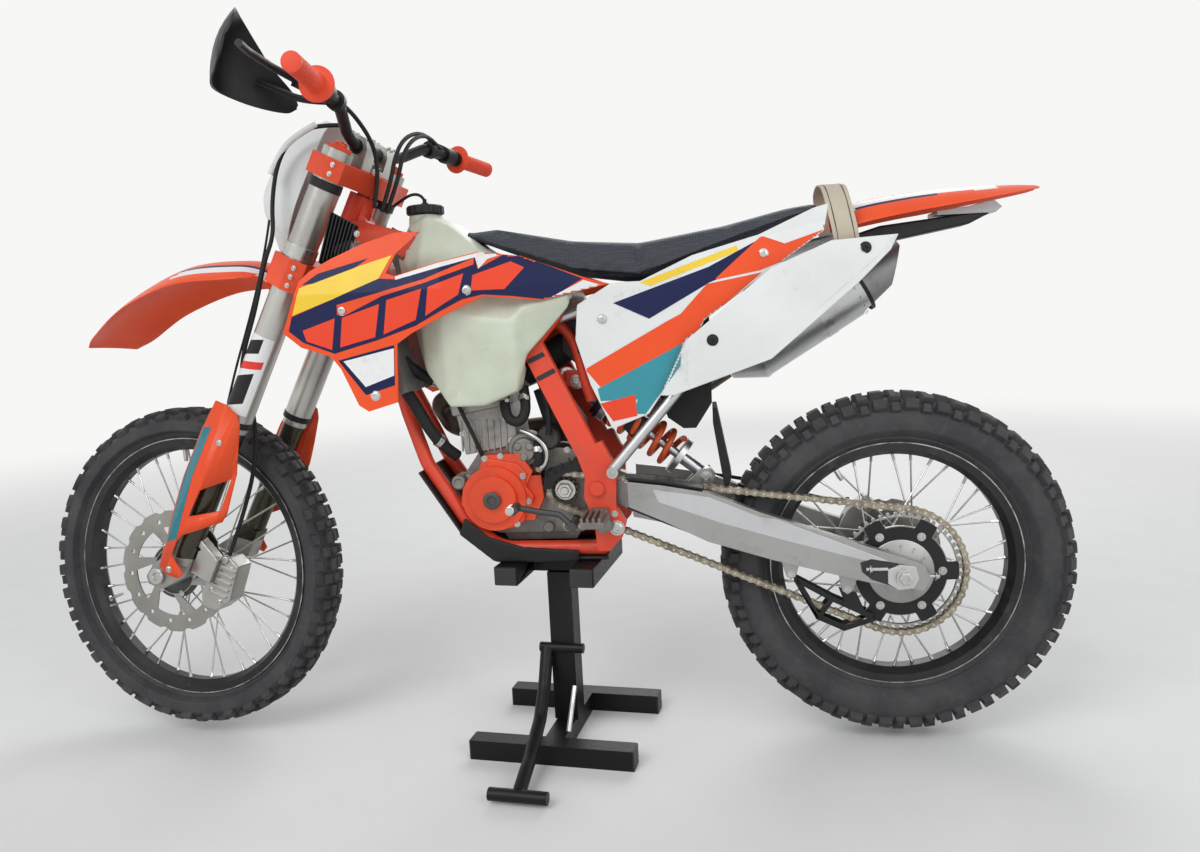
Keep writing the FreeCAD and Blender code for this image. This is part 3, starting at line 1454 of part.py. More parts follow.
def stand_base():
    """Two floor bars, a cross member, the post and the lever with its foot roller."""
    length, spread, side = read("stand_length"), read("stand_spread"), read("stand_tube")
    pieces = [box(-length / 2, length / 2, y - side / 2, y + side / 2, 0, side) for y in (-spread / 2, spread / 2)]
    pieces.append(box(-side / 2, side / 2, -spread / 2, spread / 2, 0, side))
    post = read("stand_post")
    top = read("stand_top_z") - read("stand_top_height")
    pieces.append(box(-post / 2, post / 2, -post / 2, post / 2, side - 1, top))
    pieces.append(tube([V(-32, -30, 196), V(-32, -60, 126), V(-28, -110, 78), V(-22, -200, 40), V(-14, -290, 20)],
                       13, [60, 60, 120]))
    pieces.append(rod(V(-70, -295, 18), V(42, -295, 18), 12))
    pieces.append(rod(V(-46, -30, 196), V(46, -30, 196), 10))
    return joined(pieces)


feature("stand_base", stand_base(), stand_frame)


def stand_top():
    """Two padded bars across the bike on a plate over the post."""
    width, height = read("stand_top_width"), read("stand_top_height")
    spread, length, top = read("stand_top_spread"), read("stand_top_length"), read("stand_top_z")
    low = top - height + read("seat_gap")
    pieces = []
    for x in (-spread / 2, spread / 2):
        pieces.append(box(x - width / 2, x + width / 2, -length / 2, length / 2, low, top))
    pieces.append(box(-spread / 2, spread / 2, -20, 20, low, top - 4))
    return joined(pieces)


feature("stand_top", stand_top(), stand_frame)

doc.recompute()
for item in doc.Objects:
    if "Invalid" in item.State or "Error" in item.State:
        raise RuntimeError(f"{item.Label} failed: {item.State}")
for label, item in NODES.items():
    if item.Shape.isNull() or not item.Shape.isValid():
        raise RuntimeError(f"{label} has no valid shape")

os.makedirs("parts", exist_ok=True)
for label, item in NODES.items():
    item.Shape.exportStep(f"parts/{label}.step")
print(len(NODES), "sub-parts written")
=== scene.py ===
import json
import math

import bmesh
import bpy
from mathutils import Matrix, Vector
from mathutils.bvhtree import BVHTree

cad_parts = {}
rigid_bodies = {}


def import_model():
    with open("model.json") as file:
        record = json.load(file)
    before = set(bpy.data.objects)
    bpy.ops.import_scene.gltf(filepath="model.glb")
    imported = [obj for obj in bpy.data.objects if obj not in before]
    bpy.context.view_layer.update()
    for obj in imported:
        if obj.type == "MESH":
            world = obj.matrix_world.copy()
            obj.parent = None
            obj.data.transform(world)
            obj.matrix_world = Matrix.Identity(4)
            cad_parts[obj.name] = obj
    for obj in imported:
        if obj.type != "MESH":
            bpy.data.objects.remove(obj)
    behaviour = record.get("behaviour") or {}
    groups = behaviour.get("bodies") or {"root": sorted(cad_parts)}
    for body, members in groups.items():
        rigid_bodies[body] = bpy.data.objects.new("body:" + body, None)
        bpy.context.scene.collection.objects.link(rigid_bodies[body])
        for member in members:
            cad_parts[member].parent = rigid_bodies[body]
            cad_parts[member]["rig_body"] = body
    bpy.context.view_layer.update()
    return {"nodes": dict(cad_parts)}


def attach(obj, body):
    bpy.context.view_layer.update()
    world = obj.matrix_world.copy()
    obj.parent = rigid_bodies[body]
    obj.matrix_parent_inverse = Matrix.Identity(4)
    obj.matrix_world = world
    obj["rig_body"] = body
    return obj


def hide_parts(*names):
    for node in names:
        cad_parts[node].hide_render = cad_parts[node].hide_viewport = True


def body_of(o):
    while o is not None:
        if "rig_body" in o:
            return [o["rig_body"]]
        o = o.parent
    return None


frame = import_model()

NODES = frame["nodes"]
MM = 0.001
# further out than any surface, in mm
OUTSIDE = 600
TURN = 2 * math.pi
SIDES = ((-1, "left"), (1, "right"))
BACKDROP = (0.93, 0.93, 0.92)

# the axles and the drive sprocket, in mm
FRONT_AXLE, REAR_AXLE, DRIVE = Vector((-818, 0, 367.5)), Vector((664, 0, 356)), Vector((26, 0, 530))

# the fork's frame: origin at the front axle, x back, z up along the legs, turned with the bars about HEAD
RAKE = math.radians(26.95)
STEER = math.radians(-9)
HEAD = Vector((-767.2, 0, 341.7)) * MM
STRAIGHT = Matrix.Translation(FRONT_AXLE * MM) @ Matrix.Rotation(RAKE, 4, "Y")
LEGS_UP = Vector((math.sin(RAKE), 0, math.cos(RAKE)))
FORK = Matrix.Translation(HEAD) @ Matrix.Rotation(STEER, 4, LEGS_UP) @ Matrix.Translation(-HEAD) @ STRAIGHT
REAR = Matrix.Translation(REAR_AXLE * MM)
WORLD = Matrix.Identity(4)


def at(x, y, z):
    return Vector((x, y, z)) * MM


def polar(radius, angle):
    return radius * math.cos(angle), radius * math.sin(angle)


def linked(name, data):
    """A new object, linked to the scene."""
    made = bpy.data.objects.new(name, data)
    bpy.context.scene.collection.objects.link(made)
    return made


# shader nodes

def put(tree, kind, inputs=None, **settings):
    """A node with its inputs given as numbers, colours or other nodes' sockets."""
    made = tree.nodes.new("ShaderNode" + kind)
    for key, value in settings.items():
        setattr(made, key, value)
    for key, value in (inputs or {}).items():
        if isinstance(value, bpy.types.NodeSocket):
            tree.links.new(value, made.inputs[key])
        else:
            made.inputs[key].default_value = value
    return made


def rgb(colour):
    return (*colour, 1)


def ramp(tree, source, low, high):
    """Socket running from 0 to 1 between two values of its source."""
    return put(tree, "MapRange", {"Value": source, "From Min": low, "From Max": high}).outputs["Result"]


def blend_colour(tree, factor, first, second):
    made = put(tree, "Mix", data_type="RGBA")
    for socket, value in zip((made.inputs[0], made.inputs[6], made.inputs[7]), (factor, first, second)):
        if isinstance(value, bpy.types.NodeSocket):
            tree.links.new(value, socket)
        else:
            socket.default_value = value
    return made.outputs[2]


def noise(tree, coords, scale, detail=4, rough=0.55):
    return put(tree, "TexNoise", {"Vector": coords, "Scale": scale, "Detail": detail,
        "Roughness": rough}).outputs[0]


# camera and light

# place in mm, yaw, pitch and roll in degrees, and the lens in mm
CAMERA_PLACE, CAMERA_TURN, LENS = (319.0, -1808.6, 872.1), (7.19, -7.12, -2.82), 27.14


def set_camera():
    yaw, pitch, roll = (math.radians(degrees) for degrees in CAMERA_TURN)
    look = Vector((-math.sin(yaw) * math.cos(pitch), math.cos(yaw) * math.cos(pitch), math.sin(pitch)))
    right = look.cross(Vector((0, 0, 1))).normalized()
    up = right.cross(look)
    across = right * math.cos(roll) + up * math.sin(roll)
    upward = up * math.cos(roll) - right * math.sin(roll)
    turn = Matrix((across, upward, -look)).transposed().to_4x4()
    data = bpy.data.cameras.new("camera")
    data.sensor_width = 36
    data.lens = LENS
    camera = linked("camera", data)
    camera.matrix_world = Matrix.Translation(at(*CAMERA_PLACE)) @ turn
    bpy.context.scene.camera = camera


def area_light(name, place, target, size, power):
    data = bpy.data.lights.new(name, "AREA")
    data.size = size
    data.energy = power
    aim = (Vector(target) - Vector(place)).to_track_quat("-Z", "Y").to_matrix().to_4x4()
    linked(name, data).matrix_world = Matrix.Translation(Vector(place)) @ aim


def set_world():
    world = bpy.data.worlds.new("studio")
    bpy.context.scene.world = world
    world.use_nodes = True
    tree = world.node_tree
    tree.nodes.clear()
    seen = put(tree, "Background", {"Color": rgb(BACKDROP)})
    light = put(tree, "Background", {"Color": (0.95, 0.97, 1.0, 1), "Strength": 0.5})
    path = put(tree, "LightPath")
    either = path.outputs["Is Camera Ray"]
    for ray in ("Is Glossy Ray", "Is Transmission Ray"):
        either = put(tree, "Math", {0: either, 1: path.outputs[ray]}, operation="MAXIMUM").outputs[0]
    mix = put(tree, "MixShader", {0: either, 1: light.outputs[0], 2: seen.outputs[0]})
    put(tree, "OutputWorld", {"Surface": mix.outputs[0]})


bpy.context.scene.view_settings.view_transform = "Standard"
set_camera()
set_world()
for lamp in (("key", (-1.6, -3.4, 3.6), (0, 0, 0.5), 2.6, 92), ("fill", (2.6, -2.6, 1.9), (0.2, 0, 0.5),
        2.4, 34), ("back", (0.6, 3.4, 2.8), (0, 0, 0.6), 2.6, 54)):
    area_light(*lamp)


# materials

MATERIALS = {}


def surface(name, colour, rough, metal=0.0, second=None, mottle=6.0, grain=120.0, bump=0.1, depth=0.0006,
        spread=0.12, dirt=0.0, dirt_colour=(0.16, 0.12, 0.085), stretch=(1, 1, 1), round_off=0.0,
        **sockets):
    """A material whose colour, roughness and relief all vary: mottling, fine grain and dirt in patches."""
    material = bpy.data.materials.new(name)
    material.use_nodes = True
    tree = material.node_tree
    shader = tree.nodes["Principled BSDF"]
    coords = put(tree, "TexCoord").outputs["Object"]
    scaled = put(tree, "Mapping", {"Vector": coords, "Scale": stretch}).outputs[0]
    wide = noise(tree, coords, mottle, 5)
    fine = noise(tree, scaled, grain, 3)
    second = second or tuple(c * 0.72 for c in colour)
    base = blend_colour(tree, ramp(tree, wide, 0.38, 0.68), rgb(colour), rgb(second))
    roughness = put(tree, "MapRange", {"Value": fine, "From Min": 0.3, "From Max": 0.7,
        "To Min": rough - spread / 2, "To Max": rough + spread / 2}).outputs[0]
    if dirt:
        patches = noise(tree, coords, mottle * 2.7, 8, 0.7)
        amount = put(tree, "MapRange", {"Value": patches, "From Min": 0.62 - 0.3 * dirt,
            "From Max": 0.82 - 0.2 * dirt, "To Max": min(1.0, 0.35 + dirt * 0.6)}).outputs[0]
        base = blend_colour(tree, amount, base, rgb(dirt_colour))
        roughness = put(tree, "Math", {0: roughness, 1: put(tree, "Math", {0: amount, 1: 0.4},
            operation="MULTIPLY").outputs[0]}).outputs[0]
    tree.links.new(base, shader.inputs["Base Color"])
    tree.links.new(roughness, shader.inputs["Roughness"])
    shader.inputs["Metallic"].default_value = metal
    for key, value in sockets.items():
        shader.inputs[key.replace("_", " ").title().replace("Ior", "IOR")].default_value = value
    relief = put(tree, "Bump", {"Height": fine, "Strength": bump, "Distance": depth})
    if round_off:
        tree.links.new(put(tree, "Bevel", {"Radius": round_off}, samples=4).outputs[0],
            relief.inputs["Normal"])
    tree.links.new(relief.outputs[0], shader.inputs["Normal"])
    MATERIALS[name] = material
    return material


# name, colour, roughness, metal, and what differs from the defaults
FINISHES = (
    ("orange_plastic", (0.83, 0.088, 0.02), 0.36, 0.0, {"second": (0.77, 0.072, 0.018), "bump": 0.03,
        "dirt": 0.05, "specular_ior_level": 0.3}),
    ("orange_frame", (0.78, 0.066, 0.026), 0.4, 0.0, {"second": (0.68, 0.055, 0.022), "dirt": 0.3,
        "round_off": 0.002}),
    ("orange_metal", (0.86, 0.085, 0.028), 0.34, 0.3, {"dirt": 0.1, "round_off": 0.001}),
    ("white_plastic", (0.74, 0.76, 0.75), 0.42, 0.0, {"second": (0.66, 0.68, 0.67), "dirt": 0.14}),
    ("black_plastic", (0.009, 0.009, 0.01), 0.46, 0.0, {"second": (0.014, 0.014, 0.015), "dirt": 0.08,
        "dirt_colour": (0.05, 0.043, 0.036), "specular_ior_level": 0.3}),
    ("black_rubber", (0.01, 0.01, 0.011), 0.66, 0.0, {"second": (0.016, 0.016, 0.016), "dirt": 0.1,
        "dirt_colour": (0.05, 0.043, 0.036), "specular_ior_level": 0.3}),
    ("tyre", (0.026, 0.027, 0.031), 0.72, 0.0, {"second": (0.05, 0.05, 0.052), "mottle": 14, "dirt": 0.3,
        "dirt_colour": (0.1, 0.09, 0.075)}),
    ("rim", (0.02, 0.02, 0.022), 0.38, 0.6, {"second": (0.045, 0.045, 0.046), "dirt": 0.15}),
    ("bright_steel", (0.62, 0.62, 0.6), 0.3, 1.0, {"dirt": 0.18}),
    ("disc_steel", (0.38, 0.37, 0.345), 0.36, 1.0, {"grain": 400, "dirt": 0.18}),
    ("chain_steel", (0.43, 0.38, 0.29), 0.38, 1.0, {"second": (0.2, 0.17, 0.13), "mottle": 60,
        "dirt": 0.25}),
    ("fork_silver", (0.52, 0.51, 0.48), 0.34, 0.9, {"grain": 300, "stretch": (1, 1, 0.05), "bump": 0.02}),
    ("fork_dark", (0.075, 0.07, 0.05), 0.28, 0.8, {"grain": 300, "dirt": 0.12}),
    ("casting", (0.27, 0.26, 0.245), 0.52, 0.75, {"second": (0.17, 0.165, 0.155), "grain": 500,
        "bump": 0.25, "mottle": 12, "dirt": 0.45, "round_off": 0.002}),
    ("cast_light", (0.38, 0.37, 0.345), 0.5, 0.7, {"second": (0.27, 0.26, 0.245), "grain": 500,
        "bump": 0.25, "mottle": 14, "dirt": 0.35, "round_off": 0.002}),
    ("dark_casting", (0.09, 0.09, 0.09), 0.55, 0.6, {"grain": 400, "bump": 0.2, "dirt": 0.35,
        "round_off": 0.002}),
    ("raw_aluminium", (0.6, 0.61, 0.62), 0.36, 0.95, {"second": (0.5, 0.5, 0.5), "stretch": (0.08, 1, 1),
        "grain": 500, "dirt": 0.12, "round_off": 0.0015}),
    ("tank", (0.62, 0.68, 0.56), 0.34, 0.0, {"second": (0.52, 0.56, 0.44), "mottle": 9, "bump": 0.04,
        "dirt": 0.06, "subsurface_weight": 0.15}),
    ("exhaust", (0.14, 0.115, 0.095), 0.45, 1.0, {"second": (0.08, 0.065, 0.05), "dirt": 0.25}),
    ("spring", (0.84, 0.12, 0.03), 0.36, 0.0, {"dirt": 0.15}),
    ("webbing", (0.56, 0.5, 0.4), 0.9, 0.0, {"second": (0.45, 0.39, 0.3), "grain": 900, "bump": 0.5,
        "dirt": 0.15}),
    ("seat", (0.022, 0.028, 0.04), 0.62, 0.0, {"grain": 900, "bump": 0.5, "depth": 0.001, "spread": 0.2}),
    ("stand", (0.006, 0.006, 0.007), 0.42, 0.0, {"round_off": 0.0015, "specular_ior_level": 0.25}),
    ("dark_grey", (0.035, 0.035, 0.036), 0.5, 0.0, {"specular_ior_level": 0.3}),
    ("radiator", (0.26, 0.26, 0.255), 0.5, 0.8, {"grain": 700, "bump": 0.4, "dirt": 0.3}),
    ("yellow", (0.86, 0.6, 0.03), 0.34, 0.0, {"second": (0.78, 0.52, 0.03), "bump": 0.03, "dirt": 0.08}),
    ("navy", (0.01, 0.014, 0.062), 0.34, 0.0, {"second": (0.014, 0.019, 0.074), "bump": 0.03,
        "specular_ior_level": 0.2}),
    ("warm_red", (0.78, 0.055, 0.022), 0.36, 0.0, {"second": (0.8, 0.07, 0.022), "bump": 0.03,
        "dirt": 0.05, "specular_ior_level": 0.3}),
    ("teal", (0.03, 0.27, 0.33), 0.34, 0.0, {"second": (0.025, 0.22, 0.28), "bump": 0.03, "dirt": 0.12}),
    ("white_film", (0.78, 0.79, 0.79), 0.34, 0.0, {"second": (0.7, 0.71, 0.71), "bump": 0.03,
        "dirt": 0.1}),
    ("red_film", (0.72, 0.03, 0.02), 0.34, 0.0, {"second": (0.62, 0.03, 0.02), "bump": 0.03,
        "dirt": 0.1}),
    ("grip_tape", (0.03, 0.03, 0.032), 0.95, 0.0, {"second": (0.06, 0.06, 0.06), "grain": 1400,
        "bump": 1.0, "depth": 0.0012, "mottle": 30}),
    ("brushed_dark", (0.4, 0.4, 0.39), 0.4, 0.9, {"second": (0.32, 0.32, 0.31), "stretch": (0.08, 1, 1),
        "grain": 500, "dirt": 0.2}),
    ("worn_edge", (0.45, 0.45, 0.44), 0.4, 0.9, {"second": (0.08, 0.08, 0.08), "mottle": 40}),
    ("grip_rubber", (0.8, 0.07, 0.02), 0.6, 0.0, {"second": (0.62, 0.05, 0.02), "dirt": 0.2}),
    ("worn_white", (0.56, 0.57, 0.56), 0.55, 0.0, {"second": (0.74, 0.75, 0.74), "mottle": 40,
        "dirt": 0.2}),
    ("dark_aluminium", (0.2, 0.2, 0.2), 0.42, 0.9, {"second": (0.3, 0.3, 0.3), "stretch": (0.08, 1, 1),
        "grain": 500, "dirt": 0.2}),
    ("lens", (0.42, 0.42, 0.42), 0.25, 0.0, {"second": (0.36, 0.36, 0.37), "bump": 0.02}),
    ("thread", (0.07, 0.06, 0.05), 0.8, 0.0, {"grain": 900, "bump": 0.3}),
)
for name, colour, rough, metal, rest in FINISHES:
    surface(name, colour, rough, metal, **rest)

# CAD nodes that show as they are
NODE_MATERIAL = {
    "rim": ("front_rim", "rear_rim"),
    "bright_steel": ("front_spokes", "rear_spokes", "front_axle", "rear_axle"),
    "disc_steel": ("rear_disc",),
    "fork_silver": ("fork_uppers",),
    "dark_casting": ("front_hub", "rear_hub", "drive_sprocket"),
    "orange_frame": ("pivot_bolt",),
    "raw_aluminium": ("shock_absorber",),
    "spring": ("shock_spring",),
    "radiator": ("radiators",),
}


def repaint(node, material):
    for slot in NODES[node].material_slots:
        slot.material = material


def dotted(name, scale, colour):
    """Fine raised dots on a material, as on a gripping seat cover."""
    tree = MATERIALS[name].node_tree
    shader = tree.nodes["Principled BSDF"]
    coords = put(tree, "TexCoord").outputs["Object"]
    cells = put(tree, "TexVoronoi", {"Vector": coords, "Scale": scale,
        "Randomness": 0.15}).outputs["Distance"]
    dots = put(tree, "MapRange", {"Value": cells, "From Min": 0.28, "From Max": 0.42, "To Min": 1.0,
        "To Max": 0.0})
    base = shader.inputs["Base Color"].links[0].from_socket
    mixed = blend_colour(tree, dots.outputs["Result"], base, rgb(colour))
    tree.links.new(mixed, shader.inputs["Base Color"])
    relief = put(tree, "Bump", {"Height": dots.outputs["Result"], "Strength": 0.6, "Distance": 0.0008,
        "Normal": shader.inputs["Normal"].links[0].from_socket})
    tree.links.new(relief.outputs[0], shader.inputs["Normal"])


dotted("seat", 190, (0.046, 0.055, 0.07))


for material_name, members in NODE_MATERIAL.items():
    for member in members:
        repaint(member, MATERIALS[material_name])


# mesh building

class Shape:
    """Collects the faces of one piece, given in millimetres in a frame of its own."""

    def __init__(self, frame_matrix=WORLD):
        self.bm = bmesh.new()
        self.frame = frame_matrix

    def vertex(self, place, point):
        return self.bm.verts.new(self.frame @ (place @ (Vector(point) * MM)))

    def face(self, corners):
        if len(set(corners)) > 2:
            self.bm.faces.new(corners)

    def rings(self, rings, place=WORLD, closed_along=False, closed_round=True, caps=True):
        """Skin over rings of points, which have one number of points each."""
        made = [[self.vertex(place, p) for p in ring] for ring in rings]
        count = len(made[0])
        pairs = list(zip(made, made[1:])) + ([(made[-1], made[0])] if closed_along else [])
        for a, b in pairs:
            for i in range(count if closed_round else count - 1):
                j = (i + 1) % count
                self.face((a[i], a[j], b[j], b[i]))
        if caps and closed_round and not closed_along:
            self.face(made[0][::-1])
            self.face(made[-1])

    def turned(self, profile, place=WORLD, steps=48, closed=True):
        """A shape turned about its own z from points of radius and height."""
        rings = [[(*polar(r, i * TURN / steps), h) for r, h in profile] for i in range(steps)]
        self.rings(rings, place, closed_along=True, closed_round=closed, caps=False)

    def collar(self, inner, outer, low, high, place=WORLD, steps=48):
        """A ring about its own z, or a rod where the inner radius is 0."""
        self.turned([(inner, low), (outer, low), (outer, high), (inner, high)], place, steps)

    def prism(self, outline, low, high):
        """A plate: its outline in x and z, and its two faces in y."""
        self.rings([[(x, low, z) for x, z in outline], [(x, high, z) for x, z in outline]])

    def bolt(self, place, radius, height, sides=6, washer=1.35):
        """A bolt head on the local z axis with its washer and a socket."""
        self.collar(0, radius * washer, 0, height * 0.25, place, 20)
        self.turned([(0, 0), (radius, 0), (radius, height * 0.85), (radius * 0.85, height),
            (radius * 0.45, height), (radius * 0.42, height * 0.5), (0, height * 0.5)], place, sides)

    def made(self, name, material, body, bevel=0.0, segments=2, angle=35, slot=None):
        """The finished object, riding on its CAD body."""
        bmesh.ops.remove_doubles(self.bm, verts=self.bm.verts, dist=0.00001)
        bmesh.ops.recalc_face_normals(self.bm, faces=self.bm.faces)
        return finished(self.bm, name, material, body, bevel, segments, angle)

    def steel(self, name, body="chassis", bevel=0.0):
        """The finished object in bright steel."""
        return self.made(name, "bright_steel", body, bevel, angle=30)


def finished(bm, name, material, body, bevel=0.0, segments=2, angle=35):
    """A mesh object with smooth faces, edges that stay sharp above an angle, and its material."""
    mesh = bpy.data.meshes.new(name)
    bm.to_mesh(mesh)
    bm.free()
    mesh.shade_smooth()
    mesh.set_sharp_from_angle(angle=math.radians(angle))
    piece = linked(name, mesh)
    mesh.materials.append(MATERIALS[material])
    if bevel:
        modifier = piece.modifiers.new("edges", "BEVEL")
        modifier.width = bevel * MM
        modifier.segments = segments
        modifier.limit_method = "ANGLE"
        modifier.angle_limit = math.radians(angle)
        modifier.harden_normals = True
    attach(piece, body)
    return piece


def body_with(node):
    """Name of the body that a CAD node rides on."""
    return body_of(NODES[node])[0]


def node_mesh(node):
    """The node's own surface with its facets joined."""
    bm = bmesh.new()
    bm.from_mesh(NODES[node].data)
    bmesh.ops.remove_doubles(bm, verts=bm.verts, dist=0.00003)
    bmesh.ops.dissolve_limit(bm, angle_limit=math.radians(1.0), verts=bm.verts, edges=bm.edges)
    return bm


def bisect(bm, point, normal):
    bmesh.ops.bisect_plane(bm, geom=bm.verts[:] + bm.edges[:] + bm.faces[:], plane_co=point, plane_no=normal)


def split_at(bm, point, normal):
    """Cuts the mesh along a plane, and gives the faces beyond it."""
    bisect(bm, point, normal)
    return [face for face in bm.faces if (face.calc_center_median() - point).dot(normal) > 0]


def dressed(node, material, bevel=1.2, segments=2, angle=38, cuts=(), slot=None):
    """The node's shape with rounded edges; cuts give a point, a normal and the material beyond."""
    bm = node_mesh(node)
    beyond = [split_at(bm, at(*cut[0]), Vector(cut[1])) for cut in cuts]
    for index, faces in enumerate(beyond, start=1):
        for face in faces:
            if face.is_valid:
                face.material_index = index
    piece = finished(bm, node + "_dressed", material, body_with(node), bevel, segments, angle)
    for cut in cuts:
        piece.data.materials.append(MATERIALS[cut[2]])
    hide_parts(node)
    return piece


def applied(piece):
    """The object's mesh with its modifiers applied."""
    mesh = bpy.data.meshes.new_from_object(piece.evaluated_get(bpy.context.evaluated_depsgraph_get()))
    piece.modifiers.clear()
    piece.data = mesh
    mesh.shade_smooth()
    return mesh


def softened(piece, voxel, rounds):
    """The object's mesh after a fine remesh and a number of smoothing rounds."""
    remesh = piece.modifiers.new("fine", "REMESH")
    remesh.mode = "VOXEL"
    remesh.voxel_size = voxel * MM
    smooth = piece.modifiers.new("soft", "SMOOTH")
    smooth.factor = 0.5
    smooth.iterations = rounds
    return applied(piece)


def melted(node, material, voxel, rounds):
    """A moulded form: the node's shape remeshed finely and smoothed, so that its edges run out softly."""
    piece = finished(node_mesh(node), node + "_moulded", material, body_with(node))
    softened(piece, voxel, rounds)
    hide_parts(node)
    return piece


CLOTH_STEPS = 20


def cushion(node, material, voxel, shrink, pressure, cap):
    """Foam under a cover: the node's shape, drawn in a little and blown up again by a cloth simulation."""
    piece = finished(node_mesh(node), node + "_cover", material, body_with(node))
    mesh = softened(piece, voxel, 10)
    for vertex, normal in zip(mesh.vertices, [v.normal.copy() for v in mesh.vertices]):
        vertex.co -= normal * shrink * MM
    start = [vertex.co.copy() for vertex in mesh.vertices]
    cloth = piece.modifiers.new("cover", "CLOTH")
    cloth.settings.use_pressure = True
    cloth.settings.uniform_pressure_force = pressure
    cloth.settings.effector_weights.gravity = 0
    for step in range(1, CLOTH_STEPS + 1):
        bpy.context.scene.frame_set(step)
    mesh = applied(piece)
    bpy.context.scene.frame_set(1)
    for vertex, old in zip(mesh.vertices, start):
        move = vertex.co - old
        if move.length > cap * MM:
            vertex.co = old + move.normalized() * cap * MM
    fine = piece.modifiers.new("finer", "SUBSURF")
    fine.levels = fine.render_levels = 1
    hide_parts(node)
    return piece


def place_at(x, y, z, axis="Y"):
    """A placement whose own z points along the named axis."""
    turns = {"Z": Matrix.Identity(4), "-Z": Matrix.Rotation(math.pi, 4, "X"),
        "Y": Matrix.Rotation(-math.pi / 2, 4, "X"), "-Y": Matrix.Rotation(math.pi / 2, 4, "X"),
        "X": Matrix.Rotation(math.pi / 2, 4, "Y"), "-X": Matrix.Rotation(-math.pi / 2, 4, "Y")}
    return Matrix.Translation(at(x, y, z)) @ turns[axis]


def facing(x, y, z, side):
    """A placement whose own z points outwards on one side of the bike."""
    return place_at(x, y, z, "-Y" if side < 0 else "Y")


def along(start, end):
    """A placement at start whose own z points to end."""
    way = Vector(end) - Vector(start)
    return Matrix.Translation(Vector(start) * MM) @ way.to_track_quat("Z", "X").to_matrix().to_4x4()


def hose(name, points, radius, material, body, frame_matrix=WORLD):
    """A round line along the smooth curve that its points draw."""
    curve = bpy.data.curves.new(name, "CURVE")
    curve.dimensions = "3D"
    curve.bevel_depth = radius * MM
    curve.bevel_resolution = 4
    curve.use_fill_caps = True
    spline = curve.splines.new("NURBS")
    spline.points.add(len(points) - 1)
    for target, point in zip(spline.points, points):
        target.co = (*(frame_matrix @ at(*point)), 1)
    spline.order_u = 3
    spline.use_endpoint_u = True
    spline.resolution_u = 8
    piece = linked(name, curve)
    curve.materials.append(MATERIALS[material])
    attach(piece, body)
    return piece


TREES = {}


def tree_from(mesh):
    return BVHTree.FromPolygons([v.co.copy() for v in mesh.vertices],
        [tuple(p.vertices) for p in mesh.polygons])


def tree_of(node):
    if node not in TREES:
        TREES[node] = tree_from(NODES[node].data)
    return TREES[node]


def met(node, x, z, side, frame_matrix=WORLD):
    """Where a line across the bike first meets the node's surface from one side, or None."""
    way = frame_matrix.to_3x3() @ Vector((0, -side, 0))
    return tree_of(node).ray_cast(frame_matrix @ at(x, side * OUTSIDE, z), way)[0]


def decal(name, node, outline, material, side=-1, lift=0.5, cell=3.0):
    """A coloured area on a node's outer face: an outline in x and z, laid on it from one side."""
    bm = bmesh.new()
    bm.faces.new([bm.verts.new((x, 0, z)) for x, z in outline])
    for part, index in ((0, 0), (1, 2)):
        low = min(p[part] for p in outline)
        high = max(p[part] for p in outline)
        normal = [0, 0, 0]
        normal[index] = 1
        for i in range(1, int((high - low) / cell) + 1):
            spot = [0, 0, 0]
            spot[index] = low + i * cell
            bisect(bm, spot, normal)
    way = Vector((0, -side, 0))
    # a face that spans a step of the surface is dropped
    limit = 2.5 * cell * MM
    lost = []
    for vertex in bm.verts:
        hit = met(node, vertex.co.x, vertex.co.z, side)
        if hit is None:
            lost.append(vertex)
        else:
            vertex.co = hit - way * lift * MM
    bmesh.ops.delete(bm, geom=lost, context="VERTS")
    stepped = []
    for face in bm.faces:
        depths = [vertex.co.dot(way) for vertex in face.verts]
        if max(depths) - min(depths) > limit:
            stepped.append(face)
    bmesh.ops.delete(bm, geom=stepped, context="FACES")
    bmesh.ops.recalc_face_normals(bm, faces=bm.faces)
    return finished(bm, name, material, body_with(node), angle=60)


SINK = 0.3


def studs(name, node, spots, radius, height, material="bright_steel", side=-1, frame_matrix=WORLD, sides=6):
    """Bolt heads sunk slightly into a node's outer face, at points of x and z seen from one side."""
    shape = Shape()
    for x, z in spots:
        hit = met(node, x, z, side, frame_matrix)
        if hit is None:
            continue
        turned = frame_matrix.to_3x3().to_4x4() @ facing(0, 0, 0, side)
        inward = frame_matrix.to_3x3() @ Vector((0, -side * SINK * MM, 0))
        shape.bolt(Matrix.Translation(hit + inward) @ turned, radius, height, sides)
    return shape.made(name, material, body_with(node), angle=30)


